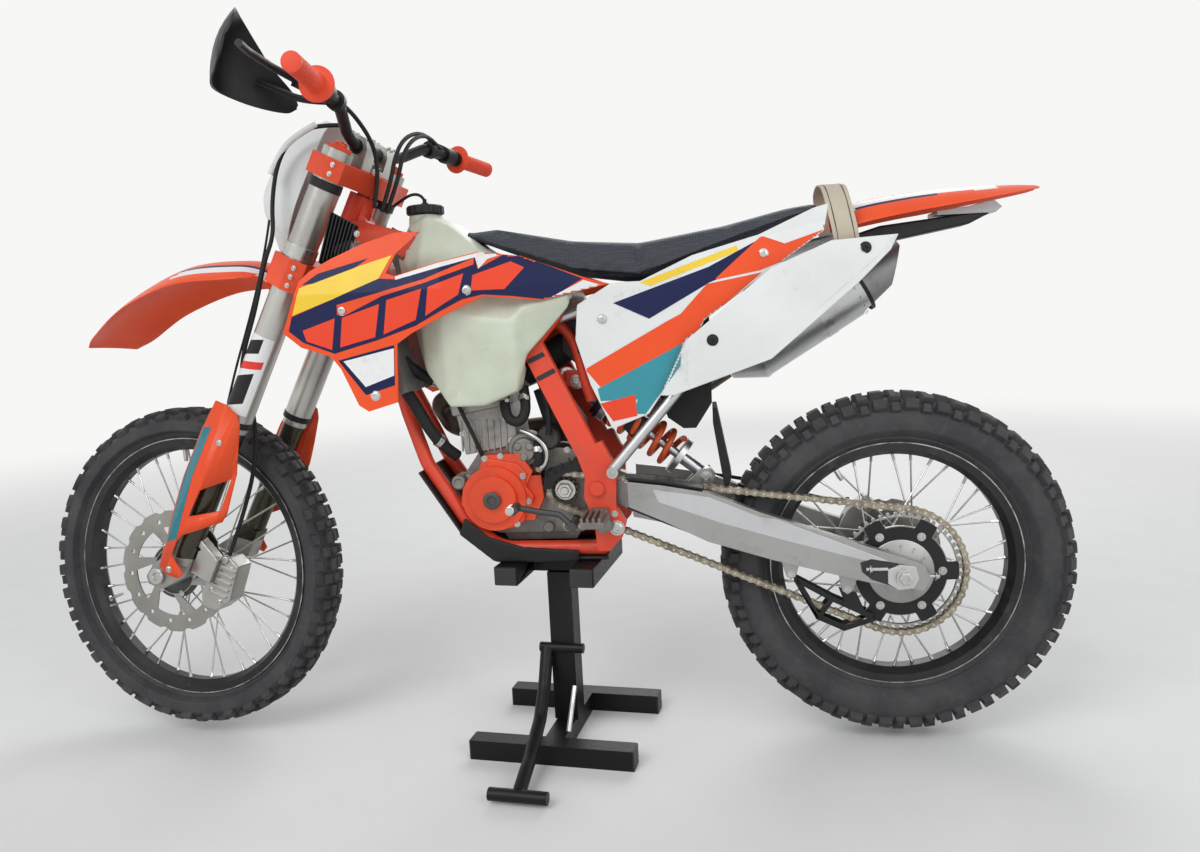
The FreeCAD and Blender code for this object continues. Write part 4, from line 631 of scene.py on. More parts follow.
def blade(name, rows, thick, frame_matrix, material, bands, slot):
    """A thin moulded blade, coloured in bands.

    Rows give x and z of its ridge, half its width, and its edges' drop. A band gives a material, the
    share of the half width where it starts and ends, and x where it starts and ends.
    """
    shape = Shape(frame_matrix)
    curve, steps = 2.2, 24
    line = smooth_line(rows, 8)
    rings = []
    for i, (x, z, half, drop) in enumerate(line):
        before, after = line[max(i - 1, 0)], line[min(i + 1, len(line) - 1)]
        up = Vector((before[1] - after[1], 0, after[0] - before[0])).normalized()
        section = []
        for k in range(steps + 1):
            u = 2 * k / steps - 1
            section.append(Vector((x, half * u, z)) - up * drop * abs(u) ** curve)
        under = [point - up * thick * (1 if 0 < k < steps else 0.5) for k, point in enumerate(section)]
        rings.append(section + under[::-1])
    shape.rings(rings)
    inverse = frame_matrix.inverted()
    bmesh.ops.recalc_face_normals(shape.bm, faces=shape.bm.faces)
    widths = [(row[0], row[2]) for row in line]
    for face in shape.bm.faces:
        spot = inverse @ face.calc_center_median() / MM
        half = min(widths, key=lambda w: abs(w[0] - spot.x))[1]
        if (inverse.to_3x3() @ face.normal).z < -0.3 and abs(spot.y) < 0.97 * half:
            continue
        for index, band in enumerate(bands, start=1):
            if band[1] < abs(spot.y) / half < band[2] and band[3] < spot.x < band[4]:
                face.material_index = index
    piece = shape.made(name, material, body_with(slot[0]), angle=50, slot=slot[1])
    for band in bands:
        piece.data.materials.append(MATERIALS[band[0]])
    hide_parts(slot[0])
    return piece


def smooth_line(points, per):
    """Points along a smooth curve through the given ones, per of them on each run."""
    line = [Vector(p) for p in points]
    line = [line[0] * 2 - line[1]] + line + [line[-1] * 2 - line[-2]]
    made = []
    for a, b, c, d in zip(line, line[1:], line[2:], line[3:]):
        for i in range(per):
            t = i / per
            made.append(0.5 * ((2 * b) + (c - a) * t + (2 * a - 5 * b + 4 * c - d) * t * t
                + (3 * b - 3 * c + d - a) * t ** 3))
    return made + [line[-2]]


def windowed(node, name, material, windows, frame_matrix, span):
    """The node's shape with openings cut through it, given as outlines in x and z and a span across."""
    piece = finished(node_mesh(node), name, material, body_with(node), angle=30)
    tool = Shape(frame_matrix)
    for outline in windows:
        tool.prism(outline, *span)
    bmesh.ops.recalc_face_normals(tool.bm, faces=tool.bm.faces)
    mesh = bpy.data.meshes.new("windows")
    tool.bm.to_mesh(mesh)
    cutter = linked("windows", mesh)
    cut = piece.modifiers.new("windows", "BOOLEAN")
    cut.object = cutter
    result = applied(piece)
    result.set_sharp_from_angle(angle=math.radians(30))
    TREES[node] = tree_from(result)
    bpy.data.objects.remove(cutter)
    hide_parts(node)


# wheels

def skin(section, w):
    """Radius, y and outward normal of a tyre's section at w from 0 to 1 along it."""
    spans = [math.dist(a, b) for a, b in zip(section, section[1:])]
    reach = w * sum(spans)
    for (a, b), span in zip(zip(section, section[1:]), spans):
        if reach <= span or b is section[-1]:
            part = reach / span
            along_y, out = (b[1] - a[1]) / span, (b[0] - a[0]) / span
            return a[0] + (b[0] - a[0]) * part, a[1] + (b[1] - a[1]) * part, (along_y, -out)
        reach -= span


def tyre(node, radius, half, knob, rim_radius, rim_half, pitches, rows, axis_frame):
    """Carcass with ribs on its walls, and rows of knobs."""
    tread = radius - knob
    wall = tread - rim_radius
    section = [(rim_radius - 9, -rim_half + 8), (rim_radius + 1, -rim_half + 3),
        (rim_radius + 6, -rim_half - 1), (rim_radius + 8, -rim_half - 4),
        (rim_radius + 11, -rim_half - 3.4), (rim_radius + 0.3 * wall, -half * 0.92),
        (rim_radius + 0.33 * wall, -half * 0.92 - 1.2), (rim_radius + 0.36 * wall, -half * 0.95),
        (rim_radius + 0.5 * wall, -half + 1.5), (rim_radius + 0.7 * wall, -half + 2.5),
        (tread - 13, -half * 0.86), (tread - 4.5, -half * 0.6), (tread - 0.8, -half * 0.3), (tread, 0)]
    section = section + [(r, -y) for r, y in section[-2::-1]]
    shape = Shape(axis_frame)
    shape.turned(section, place_at(0, 0, 0, "Y"), 180, closed=False)
    step = TURN / pitches
    loop = ((0, 0), (1, 0), (2, 0), (2, 1), (2, 2), (1, 2), (0, 2), (0, 1))
    for pitch in range(pitches):
        for part, long, low, high, height, taper in rows:
            centred = abs(low + high - 1) < 0.01
            for flip in ((0,) if centred else (0, 1)):
                w0, w1 = (1 - high, 1 - low) if flip else (low, high)
                middle = (pitch + part) * step
                wide = long / radius / 2
                rings = []
                for level, shrink in ((-3.0, 1.14), (height - 1.2, 0.95), (height, 0.88)):
                    ring = []
                    for i, j in loop:
                        w = (w0 + w1) / 2 + (j - 1) * (w1 - w0) / 2 * shrink
                        squeeze = 1 - taper * abs(j / 2 - (1 if flip else 0))
                        r, y, (out, aside) = skin(section, w)
                        angle = middle + (i - 1) * wide * shrink * squeeze
                        far = r + out * level
                        x, z = polar(far, angle)
                        ring.append((x, y + aside * level, z))
                    rings.append(ring)
                shape.rings(rings)
    piece = shape.made(node + "_rubber", "tyre", body_with(node), angle=28, slot="tyre")
    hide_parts(node)


# part of the pitch, length, place across the tread from and to (0 to 1 between the beads), height, taper
REAR_KNOBS = ((0.0, 25, 0.445, 0.555, 15, 0.0), (0.5, 22, 0.372, 0.438, 15, 0.1),
    (0.04, 27, 0.3, 0.36, 14, 0.15), (0.54, 20, 0.285, 0.33, 10, 0.25), (0.5, 12, 0.47, 0.53, 13.5, 0.0))
FRONT_KNOBS = ((0.0, 23, 0.435, 0.49, 12, 0.0), (0.5, 20, 0.37, 0.43, 12, 0.1),
    (0.04, 25, 0.29, 0.355, 11, 0.15), (0.5, 13, 0.46, 0.54, 10.5, 0.0))
tyre("rear_tyre", 340, 58, 15, 242, 32, 34, REAR_KNOBS, REAR)
tyre("front_tyre", 347, 44, 12, 280, 25, 38, FRONT_KNOBS, FORK)


def wheel_trim(name, body, axis_frame, rim_radius, rim_half, flange, hub_y, rim_y):
    """Scraped edges of the rim, the spokes' nipples, the valve and a rim lock."""
    edges = Shape(axis_frame)
    for side in (-1, 1):
        span = sorted((side * (rim_half - 1.2), side * (rim_half + 0.35)))
        edges.collar(rim_radius - 1.8, rim_radius + 0.35, *span, place_at(0, 0, 0, "Y"), 120)
    edges.made(name + "_rim_edges", "worn_edge", body)
    nipples = Shape(axis_frame)
    outer = rim_radius - 26.6
    inner = flange + 2.2
    for index in range(36):
        side = -1 if index % 2 else 1
        forward = 1 if index // 2 % 2 else -1
        at_rim = TURN * index / 36
        at_hub = at_rim + forward * math.radians(52)
        depth = hub_y + (5 if forward > 0 else -5)
        start = Vector((inner * math.cos(at_hub), side * depth, inner * math.sin(at_hub)))
        end = Vector((outer * math.cos(at_rim), side * rim_y, outer * math.sin(at_rim)))
        way = (start - end).normalized()
        place = along(end - way * 1.5, start)
        nipples.turned([(0, 0), (3.6, 0), (3.6, 3), (2.9, 4), (2.9, 15), (0, 15)], place, 8)
        nipples.collar(0, 3.0, 0, 8, along(start - way * 4, start + way * 4), 8)
    nipples.made(name + "_nipples", "bright_steel", body)
    valve = Shape(axis_frame)
    for angle, long, thick in ((3.95, 42, 3.2), (2.1, 30, 5.0)):
        foot = Vector((math.cos(angle), 0, math.sin(angle)))
        place = along(foot * (rim_radius - 22), foot * (rim_radius - 22 - long))
        valve.turned([(0, 0), (thick + 3, 0), (thick + 3, 5), (thick, 6), (thick, long - 8),
            (thick - 1, long), (0, long)], place, 12)
    valve.made(name + "_valve", "bright_steel", body)


# name, body, frame, rim's radius and half width, flange, y of the hub's and the rim's spoke ends
wheel_trim("rear", "rear_wheel", REAR, 242, 32, 50, 39, 7)
wheel_trim("front", "front_wheel", FORK, 280, 25, 36, 35, 6)


def sprocket_carrier():
    """Arms and flange inside the rear sprocket, their bolts, and those of the front disc."""
    carrier, flange, bolts = Shape(REAR), Shape(REAR), Shape(REAR)
    outline = []
    for i in range(120):
        angle = i * TURN / 120
        off_arm = abs((angle + TURN / 12) % (TURN / 6) - TURN / 12)
        outline.append(polar(107.5 if off_arm < 0.16 else 86, angle))
    carrier.prism(outline, -78.6, -76.1)
    flange.turned([(22, -83), (34, -83), (38, -81.5), (60, -81), (62, -79.8), (62, -78), (22, -78)],
        Matrix.Rotation(-math.pi / 2, 4, "X"), 64)
    for i in range(12):
        for radius, out in ((3.2, 50), (2.2, 44)):
            x, z = polar(out, i * TURN / 12)
            flange.collar(0, radius, 0, 1.2, place_at(x, -81, z, "-Y"), 3)
    for i in range(6):
        x, z = polar(77, i * TURN / 6)
        bolts.bolt(place_at(x, -78.6, z, "-Y"), 6, 5)
    carrier.made("sprocket_carrier", "black_plastic", "rear_wheel", 0.6)
    flange.made("sprocket_flange", "brushed_dark", "rear_wheel", 0.3, angle=30)
    bolts.steel("sprocket_bolts", "rear_wheel")
    disc = Shape(FORK)
    for i in range(6):
        x, z = polar(50, i * TURN / 6 + 0.3)
        disc.bolt(place_at(x, -73.5, z, "-Y"), 4.5, 4)
    disc.steel("front_disc_bolts", "front_wheel")


sprocket_carrier()


def ring_windows(count, inner, outer, share, sweep):
    """Openings between arms: how many, radii, the share left open and the arms' lean in radians."""
    made = []
    for i in range(count):
        arc = [(i + (1 - share) / 2 + share * k / 8) * TURN / count for k in range(9)]
        made.append([polar(outer, a + sweep) for a in arc] + [polar(inner, a) for a in reversed(arc)])
    return made


windowed("rear_sprocket", "sprocket_ring", "disc_steel", ring_windows(6, 88, 105, 0.66, 0), REAR,
    (-110, -50))
windowed("front_disc", "front_disc_ring", "disc_steel", ring_windows(6, 50, 95, 0.72, 0.32), FORK,
    (-110, -50))


# chain

# pitch, y of the chain's middle, and the radii of both pitch circles
PITCH = 15.875
CHAIN_Y = -73
SMALL, LARGE = (PITCH / (2 * math.sin(math.pi / teeth)) for teeth in (13, 48))


def chain_pins():
    """Centres of the chain's pins round both sprockets."""
    span = REAR_AXLE - DRIVE
    slope = math.atan2(span.z, span.x)
    spread = math.asin((LARGE - SMALL) / span.length)
    run = math.sqrt(span.length ** 2 - (LARGE - SMALL) ** 2)
    upper, lower = slope + math.pi / 2 + spread, slope - math.pi / 2 - spread
    wraps = LARGE * (math.pi + 2 * spread), SMALL * (math.pi - 2 * spread)
    total = 2 * run + sum(wraps)
    links = 2 * round(total / PITCH / 2)

    def on(centre, radius, angle):
        return centre + Vector((math.cos(angle), 0, math.sin(angle))) * radius

    made = []
    for i in range(links):
        distance = total * i / links
        if distance < run:
            made.append(on(DRIVE, SMALL, upper).lerp(on(REAR_AXLE, LARGE, upper), distance / run))
        elif distance < run + wraps[0]:
            made.append(on(REAR_AXLE, LARGE, upper - (distance - run) / LARGE))
        elif distance < 2 * run + wraps[0]:
            part = (distance - run - wraps[0]) / run
            made.append(on(REAR_AXLE, LARGE, lower).lerp(on(DRIVE, SMALL, lower), part))
        else:
            made.append(on(DRIVE, SMALL, lower - (distance - 2 * run - wraps[0]) / SMALL))
    return made


def chain():
    """Rollers, pins, and inner and outer plates with their waists."""
    pins = chain_pins()
    steel, rollers = Shape(), Shape()
    for i, pin in enumerate(pins):
        after = pins[(i + 1) % len(pins)]
        way = (after - pin).normalized()
        across = Vector((-way.z, 0, way.x))
        depth = 6.7 if i % 2 else 4.9
        outline = []
        for centre, turn in ((pin, math.pi / 2), (after, -math.pi / 2)):
            for k in range(7):
                a = turn + k * math.pi / 6
                outline.append(centre + way * math.cos(a) * 6.2 + across * math.sin(a) * 6.2)
            if centre is pin:
                outline.append((pin + after) / 2 - across * 4.2)
        outline.append((pin + after) / 2 + across * 4.2)
        for side in (-1, 1):
            span = sorted((CHAIN_Y + side * depth, CHAIN_Y + side * (depth + 1.7)))
            steel.prism([(p.x, p.z) for p in outline], *span)
        rollers.collar(0, 4.9, -4.6, 4.6, place_at(pin.x, CHAIN_Y, pin.z), 10)
        rollers.collar(0, 2.3, -8.45, 8.45, place_at(pin.x, CHAIN_Y, pin.z), 8)
    piece = steel.made("chain_plates", "chain_steel", "chassis", slot="chain_steel")
    rollers.made("chain_rollers", "bright_steel", "chassis")
    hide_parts("chain")


chain()


# fork and steering

LEG_X, LEG_Y = 35, 105


def fork_trim():
    """Bands, collars, caps and clamp bolts of the fork's tubes."""
    silver, black, caps, bolts = Shape(FORK), Shape(FORK), Shape(FORK), Shape(FORK)
    for side in (-1, 1):
        leg = place_at(LEG_X, side * LEG_Y, 0, "Z")
        silver.collar(29.05, 31.5, 726, 752, leg)
        black.collar(29.05, 31.2, 868, 886, leg)
        black.collar(27.5, 30.4, 366, 379, leg)
        caps.turned([(0, 956), (12, 956), (12, 962), (9, 964), (0, 964)], leg, 24)
        caps.collar(14, 25.5, 948, 956.2, leg, 6)
        for height in (732, 746):
            bolts.bolt(place_at(LEG_X - 31.5, side * (LEG_Y - 6), height, "-X"), 3.2, 4)
        for low, count in ((662, 3), (889, 2)):
            for k in range(count):
                bolts.bolt(facing(LEG_X + 20, side * 138.5, low + 12 + k * 18, side), 3.8, 4)
    silver.made("fork_bands", "bright_steel", "steering", 0.6)
    black.made("fork_collars", "black_plastic", "steering", 0.8)
    caps.made("fork_caps", "orange_metal", "steering", 0.6)
    for side in (-40, 40):
        for x in (14, 52):
            bolts.bolt(place_at(x, side + 9, 989, "Z"), 3.6, 5)
            bolts.bolt(place_at(x, side - 9, 989, "Z"), 3.6, 5)
    bolts.bolt(place_at(57, 0, 939, "Z"), 14, 9, washer=1.2)
    bolts.steel("clamp_bolts", "steering")


fork_trim()


def wrap(name, side, low, high, start, end, material, radius, slant):
    """A sticker round a fork tube: heights along it and angles round it in degrees."""
    shape = Shape(FORK)
    rings = []
    steps = 20
    for i in range(steps + 1):
        part = i / steps
        x, y = polar(radius, math.radians(start + (end - start) * part))
        rings.append([(LEG_X + x, side * LEG_Y + y, h + slant * (part - 0.5)) for h in (low, high)])
    made = [[shape.vertex(WORLD, p) for p in ring] for ring in rings]
    for a, b in zip(made, made[1:]):
        shape.face((a[0], a[1], b[1], b[0]))
    shape.made(name, material, "steering")


# side, low, high, start and end round the tube, material, radius, slant
for index, row in enumerate(((-1, 395, 560, 150, 330, "white_film", 29.15, 0),
        (1, 395, 560, 30, 210, "white_film", 29.15, 0), (-1, 405, 470, 190, 300, "black_plastic", 29.3,
        30), (1, 405, 470, 60, 170, "black_plastic", 29.3, -30), (-1, 484, 500, 160, 320, "red_film",
        29.3, 26), (1, 484, 500, 40, 200, "red_film", 29.3, -26), (-1, 516, 546, 200, 290,
        "black_plastic", 29.3, 20), (1, 516, 546, 70, 160, "black_plastic", 29.3, -20))):
    wrap(f"fork_sticker_{index}", *row)


def shield(name, material, side, outline, hole=(), lift=0.0, slot=None):
    """A curved shield outside a fork leg: its outline and one opening are given in x and z."""
    bm = bmesh.new()
    bm.faces.new([bm.verts.new((x, 0, z)) for x, z in outline])
    cuts = [((x, 0, 0), (1, 0, 0)) for x in range(-16, 100, 4)]
    for (x, z), (next_x, next_z) in zip(hole, hole[1:] + hole[:1]):
        cuts.append(((x, 0, z), (z - next_z, 0, next_x - x)))
    for point, normal in cuts:
        bisect(bm, point, normal)
    inside = []
    for face in bm.faces:
        spot = face.calc_center_median()
        turns = [(x2 - x1) * (spot.z - z1) - (z2 - z1) * (spot.x - x1) for (x1, z1),
            (x2, z2) in zip(hole, hole[1:] + hole[:1])]
        if hole and (max(turns) < 0 or min(turns) > 0):
            inside.append(face)
    bmesh.ops.delete(bm, geom=inside, context="FACES")
    for vertex in bm.verts:
        reach = 37 * math.sqrt(max(0.05, 1 - ((vertex.co.x - LEG_X) / 72) ** 2)) + lift
        vertex.co = FORK @ at(vertex.co.x, side * (LEG_Y + reach), vertex.co.z)
    bmesh.ops.recalc_face_normals(bm, faces=bm.faces)
    piece = finished(bm, name, material, "steering", angle=60)
    wall = piece.modifiers.new("wall", "SOLIDIFY")
    wall.thickness = (3 if slot else 0.4) * MM
    wall.offset = 0
    return piece


GUARD = ((-4, 402), (24, 406), (54, 398), (66, 380), (80, 330), (92, 283), (99, 200), (97, 178),
    (60, 142), (34, 118), (27, 100), (27, 70), (64, 46), (60, 32), (34, 27), (10, 33), (3, 70), (6, 86),
    (-4, 120), (-16, 228), (-14, 330))
for side, mark in SIDES:
    shell = shield("leg_guard_" + mark, "orange_plastic", side, GUARD,
        ((33, 161), (88, 200), (86, 270), (36, 222)), slot="plastic_orange")
    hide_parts("fork_guards")
    shield("leg_strip_" + mark, "teal", side, ((7, 88), (25, 106), (8, 240), (10, 352), (-10, 340),
        (-13, 228), (-1, 122)), lift=2.0)
dressed("fork_lowers", "fork_dark", 1.2, 2, 40, cuts=(((FORK @ at(35, 0, 64)) / MM,
    FORK.to_3x3() @ Vector((0.25, 0, -1)), "cast_light"),))


def axle_end():
    """Hollow bolt at the front axle's left end, and the shields' screws."""
    shape = Shape(FORK)
    hit = FORK.inverted() @ met("front_axle", 0, 0, -1, FORK) / MM
    shape.turned([(6, 0), (17, 0), (17, 3), (15, 5), (8.5, 5), (6, 1)], place_at(0, hit.y + 0.5, 0, "-Y"),
        40)
    for x, z in ((34, 40), (40, 330)):
        for side in (-1, 1):
            shape.bolt(facing(x, side * 143.2, z, side), 5, 4)
    shape.steel("axle_end", "steering")


axle_end()
blade("front_fender_blade", ((-388, 346, 70, 3), (-378, 384, 88, 14), (-338, 486, 100, 32),
    (-245, 598, 106, 46), (-131, 662, 100, 46), (-70, 676, 84, 34), (-35, 664, 66, 24), (8, 642, 58, 20),
    (100, 620, 52, 18)), 3.5, FORK, "orange_plastic", (("navy", 0.58, 0.66, -235, -20),
    ("white_film", 0.66, 0.84, -235, -20)), ("front_fender", "plastic_orange"))


def mask():
    """Thin white mask, open at the back, with its lamp's housing inside."""
    # height along the fork, x of its middle, its shoulder and its rear edge, half width
    rows = ((706, -60, -46, -38, 42), (744, -98, -64, -34, 58), (772, -126, -94, -36, 64),
        (807, -142, -106, -38, 67), (850, -142, -102, -38, 68), (897, -134, -98, -38, 66),
        (940, -112, -84, -42, 60), (967, -96, -72, -46, 50), (990, -74, -60, -50, 34))
    shell = Shape(FORK)
    rings = []
    for z, middle, shoulder, rear, half in smooth_line(rows, 5):
        outline = [(rear, half), (0.5 * (rear + shoulder), half + 1), (shoulder, half * 0.96),
            (shoulder * 0.45 + middle * 0.55, half * 0.74), (middle + 3, half * 0.4)]
        outer = [(x, -y) for x, y in outline] + [(middle, 0)] + outline[::-1]
        inner = [(x + 3 * (1 - abs(y) / (half + 2)), y * 0.955) for x, y in outer]
        rings.append([(x, y, z) for x, y in outer + inner[::-1]])
    shell.rings(rings)
    piece = shell.made("mask_shell", "white_plastic", "steering", angle=50, slot="plastic_white")
    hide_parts("headlight_mask")
    lamp = Shape(FORK)
    lamp.turned([(0, 0), (34, 0), (44, 14), (47, 46), (44, 54), (0, 54)], place_at(-44, 0, 808, "-X"), 40)
    lamp.made("lamp_housing", "lens", "steering", 1.0)


mask()


def handguard():
    """Cupped shell round the left hand, on an arm; both arms' clamps sit on the bar."""
    # y out from the middle, x of its face, z low, z high
    rows = ((176, -34, 984, 992), (184, -54, 968, 1010), (215, -104, 956, 1040), (262, -142, 954, 1084),
        (330, -108, 964, 1094), (384, -62, 992, 1084), (402, -40, 1018, 1064), (406, -34, 1036, 1048))
    shape = Shape(FORK)
    rings = []
    for y, x, low, high in smooth_line(rows, 6):
        middle, half = (low + high) / 2, (high - low) / 2
        arc = [(v, x + 15 * v * v * min(1.0, half / 50)) for v in (-1, -0.8, -0.55, -0.25, 0, 0.25, 0.55,
            0.8, 1)]
        face = [(depth, -y, middle + half * v) for v, depth in arc]
        back = [(depth + 3.4, -y, middle + half * v * 0.96) for v, depth in arc]
        rings.append(face + back[::-1])
    shape.rings(rings)
    for side in (-1, 1):
        shape.collar(11.6, 18, 0, 15, along((48, side * 184, 1025.7), (53, side * 204, 1027.6)), 32)
    piece = shape.made("handguard_shell", "black_plastic", "steering", 0, angle=50, slot="plastic_black")
    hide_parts("handguards")
    hose("handguard_arm", ((40, -190, 1022), (4, -200, 1006), (-40, -208, 1000), (-92, -220, 1000)), 6.5,
        "black_plastic", "steering", FORK)


handguard()
dressed("hand_levers", "black_plastic", 1.5, 2, 40)
dressed("handlebar", "black_plastic", 0, 1, 40)
dressed("upper_clamp", "orange_metal", 2.0, 3, 40, cuts=(((FORK @ at(57, 0, 932)) / MM,
    FORK.to_3x3() @ Vector((0, 0, 1)), "fork_silver"),))
dressed("lower_clamp", "orange_metal", 2.0, 3, 40)
melted("front_caliper", "fork_silver", 1.8, 4)
studs("caliper_bolts", "front_caliper", ((112, 22), (138, 84), (140, 8)), 5, 5, frame_matrix=FORK)


def caliper_fins():
    """Raised fins and a plug on the caliper's outer face."""
    fins = Shape(FORK)
    for k in range(5):
        low = 16 + 15 * k
        fins.prism(((112, low), (150, low + 5), (152, low + 12), (112, low + 8)), -103, -96)
    fins.turned([(0, 0), (9, 0), (9, 5), (7, 7), (0, 7)], place_at(118, -96, 96, "-Y"), 24)
    fins.made("caliper_fins", "fork_silver", "steering", 1.4)


caliper_fins()


def grips():
    """Ribbed rubber with a lock ring at the inner end."""
    rubber, rings = Shape(FORK), Shape(FORK)
    for side in (-1, 1):
        tip = Vector((95, side * 400, 1045))
        inner = Vector((47, side * 176, 1025))
        way = (tip - inner).normalized()
        start = tip - way * 112
        profile = [(12, -5), (30.5, -5), (31, -3), (31, -1.5), (29.5, 0), (18.5, 1.5)]
        for k in range(17):
            profile += [(16.9, 4 + k * 6), (16.9, 7.4 + k * 6), (15.6, 8 + k * 6), (15.6, 9.4 + k * 6)]
        profile += [(16.9, 108), (16.9, 113.5), (14, 115), (0, 115)]
        rubber.turned([(0, -5)] + profile, along(start, tip), 40)
        rings.collar(11.3, 16, 0, 8.5, along(start - way * 14, tip), 32)
    piece = rubber.made("grips_rubber", "grip_rubber", "steering", angle=40, slot="grip_orange")
    rings.made("grip_rings", "black_plastic", "steering", 0.6)
    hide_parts("grips")


grips()

# name, points, radius, material
HOSES = (
    ("brake_line_front", ((116, -86, 103.6), (114, -88, 190), (90, -74, 300), (40, -64, 392),
        (-2, -80, 440), (-2, -110, 500), (-8, -114, 600), (-28, -112, 690), (-34, -104, 745),
        (-66, -100, 800), (-88, -98, 880), (-78, -92, 935), (-44, -84, 976), (10, -60, 1000)), 4.2,
        "black_rubber"),
    ("brake_sleeve", ((-91, -99, 850), (-90, -97, 892), (-76, -92, 937), (-44, -84, 976)), 6.2,
        "white_plastic"),
    ("thin_line", ((6, -112, 400), (-6, -110, 470), (-12, -110, 540), (-24, -108, 632), (-44, -104, 728),
        (-58, -100, 768)), 2.4, "black_rubber"),
    ("throttle_line_a", ((120, -26, 872), (112, -20, 930), (92, -8, 985), (70, 40, 1025), (52, 120, 1050),
        (48, 190, 1048), (60, 246, 1034)), 4.2, "black_rubber"),
    ("throttle_line_b", ((124, -14, 872), (118, -6, 935), (98, 8, 990), (78, 56, 1028), (60, 130, 1050),
        (56, 196, 1046), (62, 250, 1030)), 4.2, "black_rubber"),
    ("clutch_line", ((110, -40, 872), (98, -44, 930), (76, -66, 985), (54, -130, 1020), (44, -190, 1030),
        (40, -236, 1026)), 4.2, "black_rubber"),
)
LINES = {name: hose(name, points, radius, material, "steering", FORK) for name, points, radius,
    material in HOSES}
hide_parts("front_brake_hose")


# engine, frame and drive

# node, material, bevel, its segments, the angle above which edges are rounded
for row in (("ignition_cover", "orange_metal", 3.0, 4, 35), ("crankcase", "casting", 1.6, 3, 40),
        ("cylinder", "cast_light", 2.5, 3, 40), ("clutch_cover", "casting", 2.5, 3, 35)):
    dressed(*row)
melted("skid_plate", "black_plastic", 2.5, 10)
for row in (("swingarm", "brushed_dark", 4.0, 3, 40), ("main_frame", "orange_frame", 2.0, 3, 40),
        ("subframe", "raw_aluminium", 0, 1, 40), ("exhaust_header", "exhaust", 0, 1, 40),
        ("rear_caliper", "fork_silver", 2.0, 3, 35), ("foot_levers", "dark_casting", 0.8, 2, 40),
        ("footpegs", "casting", 0.8, 2, 40), ("intake", "black_rubber", 6.0, 4, 40)):
    dressed(*row)

studs("ignition_bolts", "ignition_cover", ((-99, 602), (-131, 598)), 4.5, 5)
studs("case_bolts", "crankcase", ((-160, 480), (30, 606), (56, 590), (56, 480), (50, 452), (-176, 556)),
    4.5, 4.5)
studs("drain_bolts", "crankcase", ((-14, 452), (24, 452)), 7.5, 5)
studs("head_bolts", "cylinder", ((-172, 690), (-88, 674), (-80, 628), (-178, 646), (-150, 780),
    (-96, 770), (-150, 742)), 5, 6)
studs("clutch_bolts", "clutch_cover", [(-30 + x, 520 + z) for x, z in (polar(66, a * TURN / 8)
    for a in range(8))], 4.5, 5, side=1)
studs("frame_bolts", "main_frame", ((96, 468), (92, 533), (124, 486)), 5, 5)
studs("foot_bolts", "main_frame", ((128, 458),), 11, 7, sides=24)
studs("caliper_bolts_rear", "rear_caliper", ((-86, 50), (-46, 104)), 5, 5, side=1, frame_matrix=REAR)


def cover_details():
    """Plug of the ignition cover, nut of the drive sprocket and the crankcase's seam."""
    dark, steel, cast = Shape(), Shape(), Shape()
    face = -108.6
    dark.turned([(0, 0), (17.5, 0), (17.5, 4), (15, 5.5), (9, 5.5), (8.6, 2.5), (0, 2.5)],
        place_at(-114, face - 4.5, 519, "-Y"), 40)
    steel.collar(0, 20, 0, 3, place_at(26, -77.2, 530, "-Y"), 40)
    steel.turned([(8, 0), (16.5, 0), (16.5, 8), (14.5, 10), (8, 10)], place_at(26, -80, 530, "-Y"), 6)
    steel.turned([(0, 0), (8.5, 0), (8.5, 12), (7, 14), (0, 14)], place_at(26, -78, 530, "-Y"), 24)
    seam = ((-172, 497), (-150, 455), (-119, 438.5), (57, 438.5), (65.5, 470), (65.5, 561), (49, 607),
        (-150, 607), (-185.5, 560))
    cast.prism(seam, -1.2, 1.2)
    dark.made("cover_plug", "dark_casting", "chassis", 0.4)
    steel.steel("sprocket_nut")
    cast.made("case_seam", "casting", "chassis", 0.4)


cover_details()

# name, points, radius, material
CHASSIS_HOSES = (
    ("coolant_u", ((-86, -72, 724), (-84, -88, 700), (-76, -94, 676), (-58, -96, 668), (-44, -94, 680),
        (-40, -90, 704), (-46, -78, 736)), 10, "black_rubber"),
    ("coolant_low", ((-27, -62, 632), (-25, -78, 622), (-22, -86, 604), (-23, -84, 584), (-25, -72, 566),
        (-25, -60, 560)), 9, "black_rubber"),
    ("coolant_front", ((-196, -50, 600), (-214, -72, 620), (-236, -92, 660), (-262, -104, 720),
        (-286, -108, 760)), 12, "black_rubber"),
    ("coolant_head", ((-196, -46, 742), (-220, -70, 752), (-250, -92, 770), (-276, -104, 800)), 11,
        "black_rubber"),
    ("breather", ((-60, -50, 800), (-30, -76, 780), (-6, -78, 730), (4, -80, 680), (-2, -78, 640)), 6,
        "black_rubber"),
    ("wire_loom", ((-140, -66, 600), (-150, -78, 640), (-176, -84, 700), (-196, -80, 760),
        (-210, -74, 810)), 4, "black_rubber"),
    ("rear_brake_line", ((80, 112, 470), (130, 118, 520), (240, 112, 530), (420, 118, 500),
        (560, 122, 450), (596, 104, 460)), 4, "black_rubber"),
    ("frame_strut", ((6, -38, 866), (36, -38, 848), (58, -38, 806), (68, -38, 750), (82, -38, 700)), 11,
        "orange_frame"),
    ("steel_line", ((-56, -80, 652), (-28, -88, 641), (-5, -90, 618), (-5, -88, 588), (-22, -86, 570),
        (-30, -66, 562)), 4.5, "bright_steel"),
    ("clutch_run", ((-90, 82, 560), (-140, 96, 640), (-190, 92, 740), (-260, 60, 860), (-330, 44, 960),
        (-352, 40, 1030)), 4, "black_rubber"),
)
for name, points, radius, material in CHASSIS_HOSES:
    hose(name, points, radius, material, "chassis")


